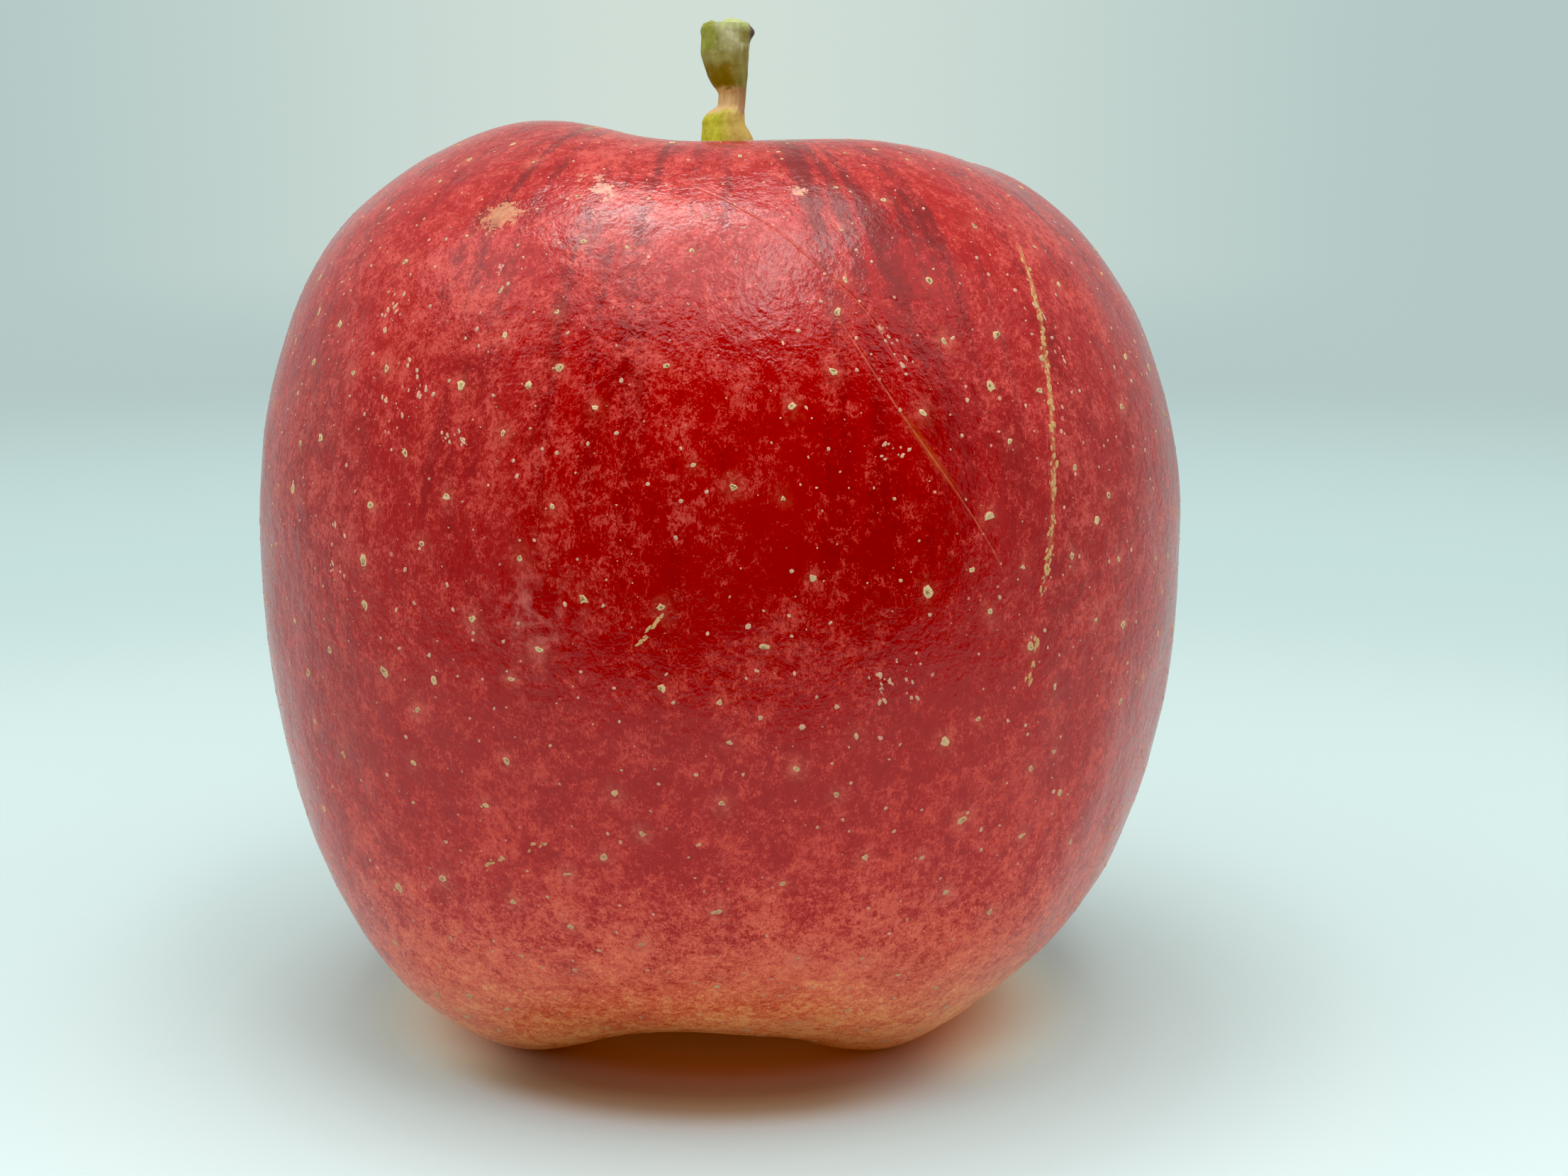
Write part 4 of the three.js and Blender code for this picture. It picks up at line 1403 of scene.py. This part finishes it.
# Depth and height of the dark card's edges: along the floor, then up in front.
MOUTH_PROFILE = [(-0.06, 0.002), (-0.30, 0.002), (-0.30, 0.37)]
MOUTH_FACES = [(0, 1, 3, 2), (2, 3, 5, 4)]
MOUTH_DARK = (0.01, 0.01, 0.01)


def mouth_material():
    n = Nodes("tent_mouth_dark")
    x, y, _ = n.split(n.place)
    solid = n.times(n.band(x, MOUTH_LEFT_FADE, MOUTH_RIGHT_FADE), n.step(y, *MOUTH_FLOOR_FADE))
    return n.finish(Base_Color=MOUTH_DARK, Roughness=1.0, Specular_IOR_Level=0.0, Alpha=solid)


mouth_points = [(side, y, z) for y, z in MOUTH_PROFILE for side in MOUTH_SIDES]
mouth = stage_mesh("tent_mouth", mouth_points, MOUTH_FACES, mouth_material())
mouth.visible_camera = False
mouth.visible_diffuse = False
mouth.visible_shadow = False


def tent_light():
    """The light inside a white tent: level walls, a lighter roof and a soft glow behind the fruit."""
    world = bpy.data.worlds.new("tent")
    world.use_nodes = True
    n = Nodes.over(world.node_tree)
    x, y, z = n.split(n.place)
    colour = n.mix(glow_share(n, x, n.plus(y, GLOW_EYE)), TENT_LEVEL, GLOW)
    colour = n.mix(n.step(z, *TENT_TOP_STEP), colour, TENT_TOP)
    n.link(colour, world.node_tree.nodes["Background"].inputs["Color"])
    bpy.context.scene.world = world


tent_light()

LIGHT_WHITE = (1.0, 0.985, 0.965)
ROOF_HEIGHT = 0.50
# Sheets of the tent's roof: middle in X and Y, size in X and Y, radiance.
ROOF_SHEETS = {
    "roof_panel": (-0.010, -0.145, 0.40, 0.51, 2.0),
    "left_roof": (-0.480, -0.110, 0.44, 0.50, 1.4),
    "right_roof": (0.480, -0.190, 0.56, 0.42, 0.9),
}
# Brighter strips of the roof, which hang a little under it.
STRIP_HEIGHT = 0.49
ROOF_STRIPS = {
    "back_strip": (-0.050, 0.025, 0.12, 0.06, 11.0),
    "cross_strip": (0.050, 0.060, 0.12, 0.06, 2.8),
    "left_strip": (-0.130, -0.070, 0.06, 0.22, 4.5),
    "right_strip": (0.108, -0.210, 0.09, 0.32, 5.0),
}
# Light from low in front and from the sides, which the wax doesn't mirror: place, size, radiance.
FILL_TARGET = (0.0, 0.0, 0.03)
FILLS = {
    "front_fill": ((0.0, -0.50, 0.10), (0.60, 0.20), 0.7),
    "left_fill": ((-0.50, 0.0, 0.12), (0.40, 0.24), 0.5),
    "right_fill": ((0.50, 0.0, 0.12), (0.40, 0.24), 0.9),
}


def add_light(name, place, target, size, radiance):
    data = bpy.data.lights.new(name, "AREA")
    data.shape = "RECTANGLE"
    data.size, data.size_y = size
    data.energy = math.pi * size[0] * size[1] * radiance
    data.color = LIGHT_WHITE
    made = put_in_scene(name, data)
    made.location = place
    made.rotation_mode = "QUATERNION"
    made.rotation_quaternion = (Vector(target) - Vector(place)).to_track_quat("-Z", "Y")
    made.visible_camera = False
    return made


for sheets, height in ((ROOF_SHEETS, ROOF_HEIGHT), (ROOF_STRIPS, STRIP_HEIGHT)):
    for name, (x, y, wide, deep, radiance) in sheets.items():
        add_light(name, (x, y, height), (x, y, 0.0), (wide, deep), radiance)
for name, (place, size, radiance) in FILLS.items():
    add_light(name, place, FILL_TARGET, size, radiance).visible_glossy = False

# The camera in metres, its angles in degrees and its lens and sensor in millimetres.
CAMERA_DISTANCE = 0.200
CAMERA_HEIGHT = 0.0768
CAMERA_PITCH = 10.9
CAMERA_YAW = 1.587
CAMERA_LENS = 52.0
CAMERA_SENSOR = 36.0
CAMERA_CLIP = 0.01, 20.0
# The tone that comes out black, so that the shadows are as deep as in the photograph.
BLACK_LEVEL = 0.012

camera_data = bpy.data.cameras.new("camera")
camera_data.sensor_width = CAMERA_SENSOR
camera_data.lens = CAMERA_LENS
camera_data.clip_start, camera_data.clip_end = CAMERA_CLIP
camera = put_in_scene("camera", camera_data)
camera.location = (0.0, -CAMERA_DISTANCE, CAMERA_HEIGHT)
camera.rotation_euler = (math.radians(90 - CAMERA_PITCH), 0.0, -math.radians(CAMERA_YAW))
bpy.context.scene.camera = camera
view = bpy.context.scene.view_settings
view.view_transform = "Standard"
view.use_curve_mapping = True
view.curve_mapping.black_level = (BLACK_LEVEL,) * 3
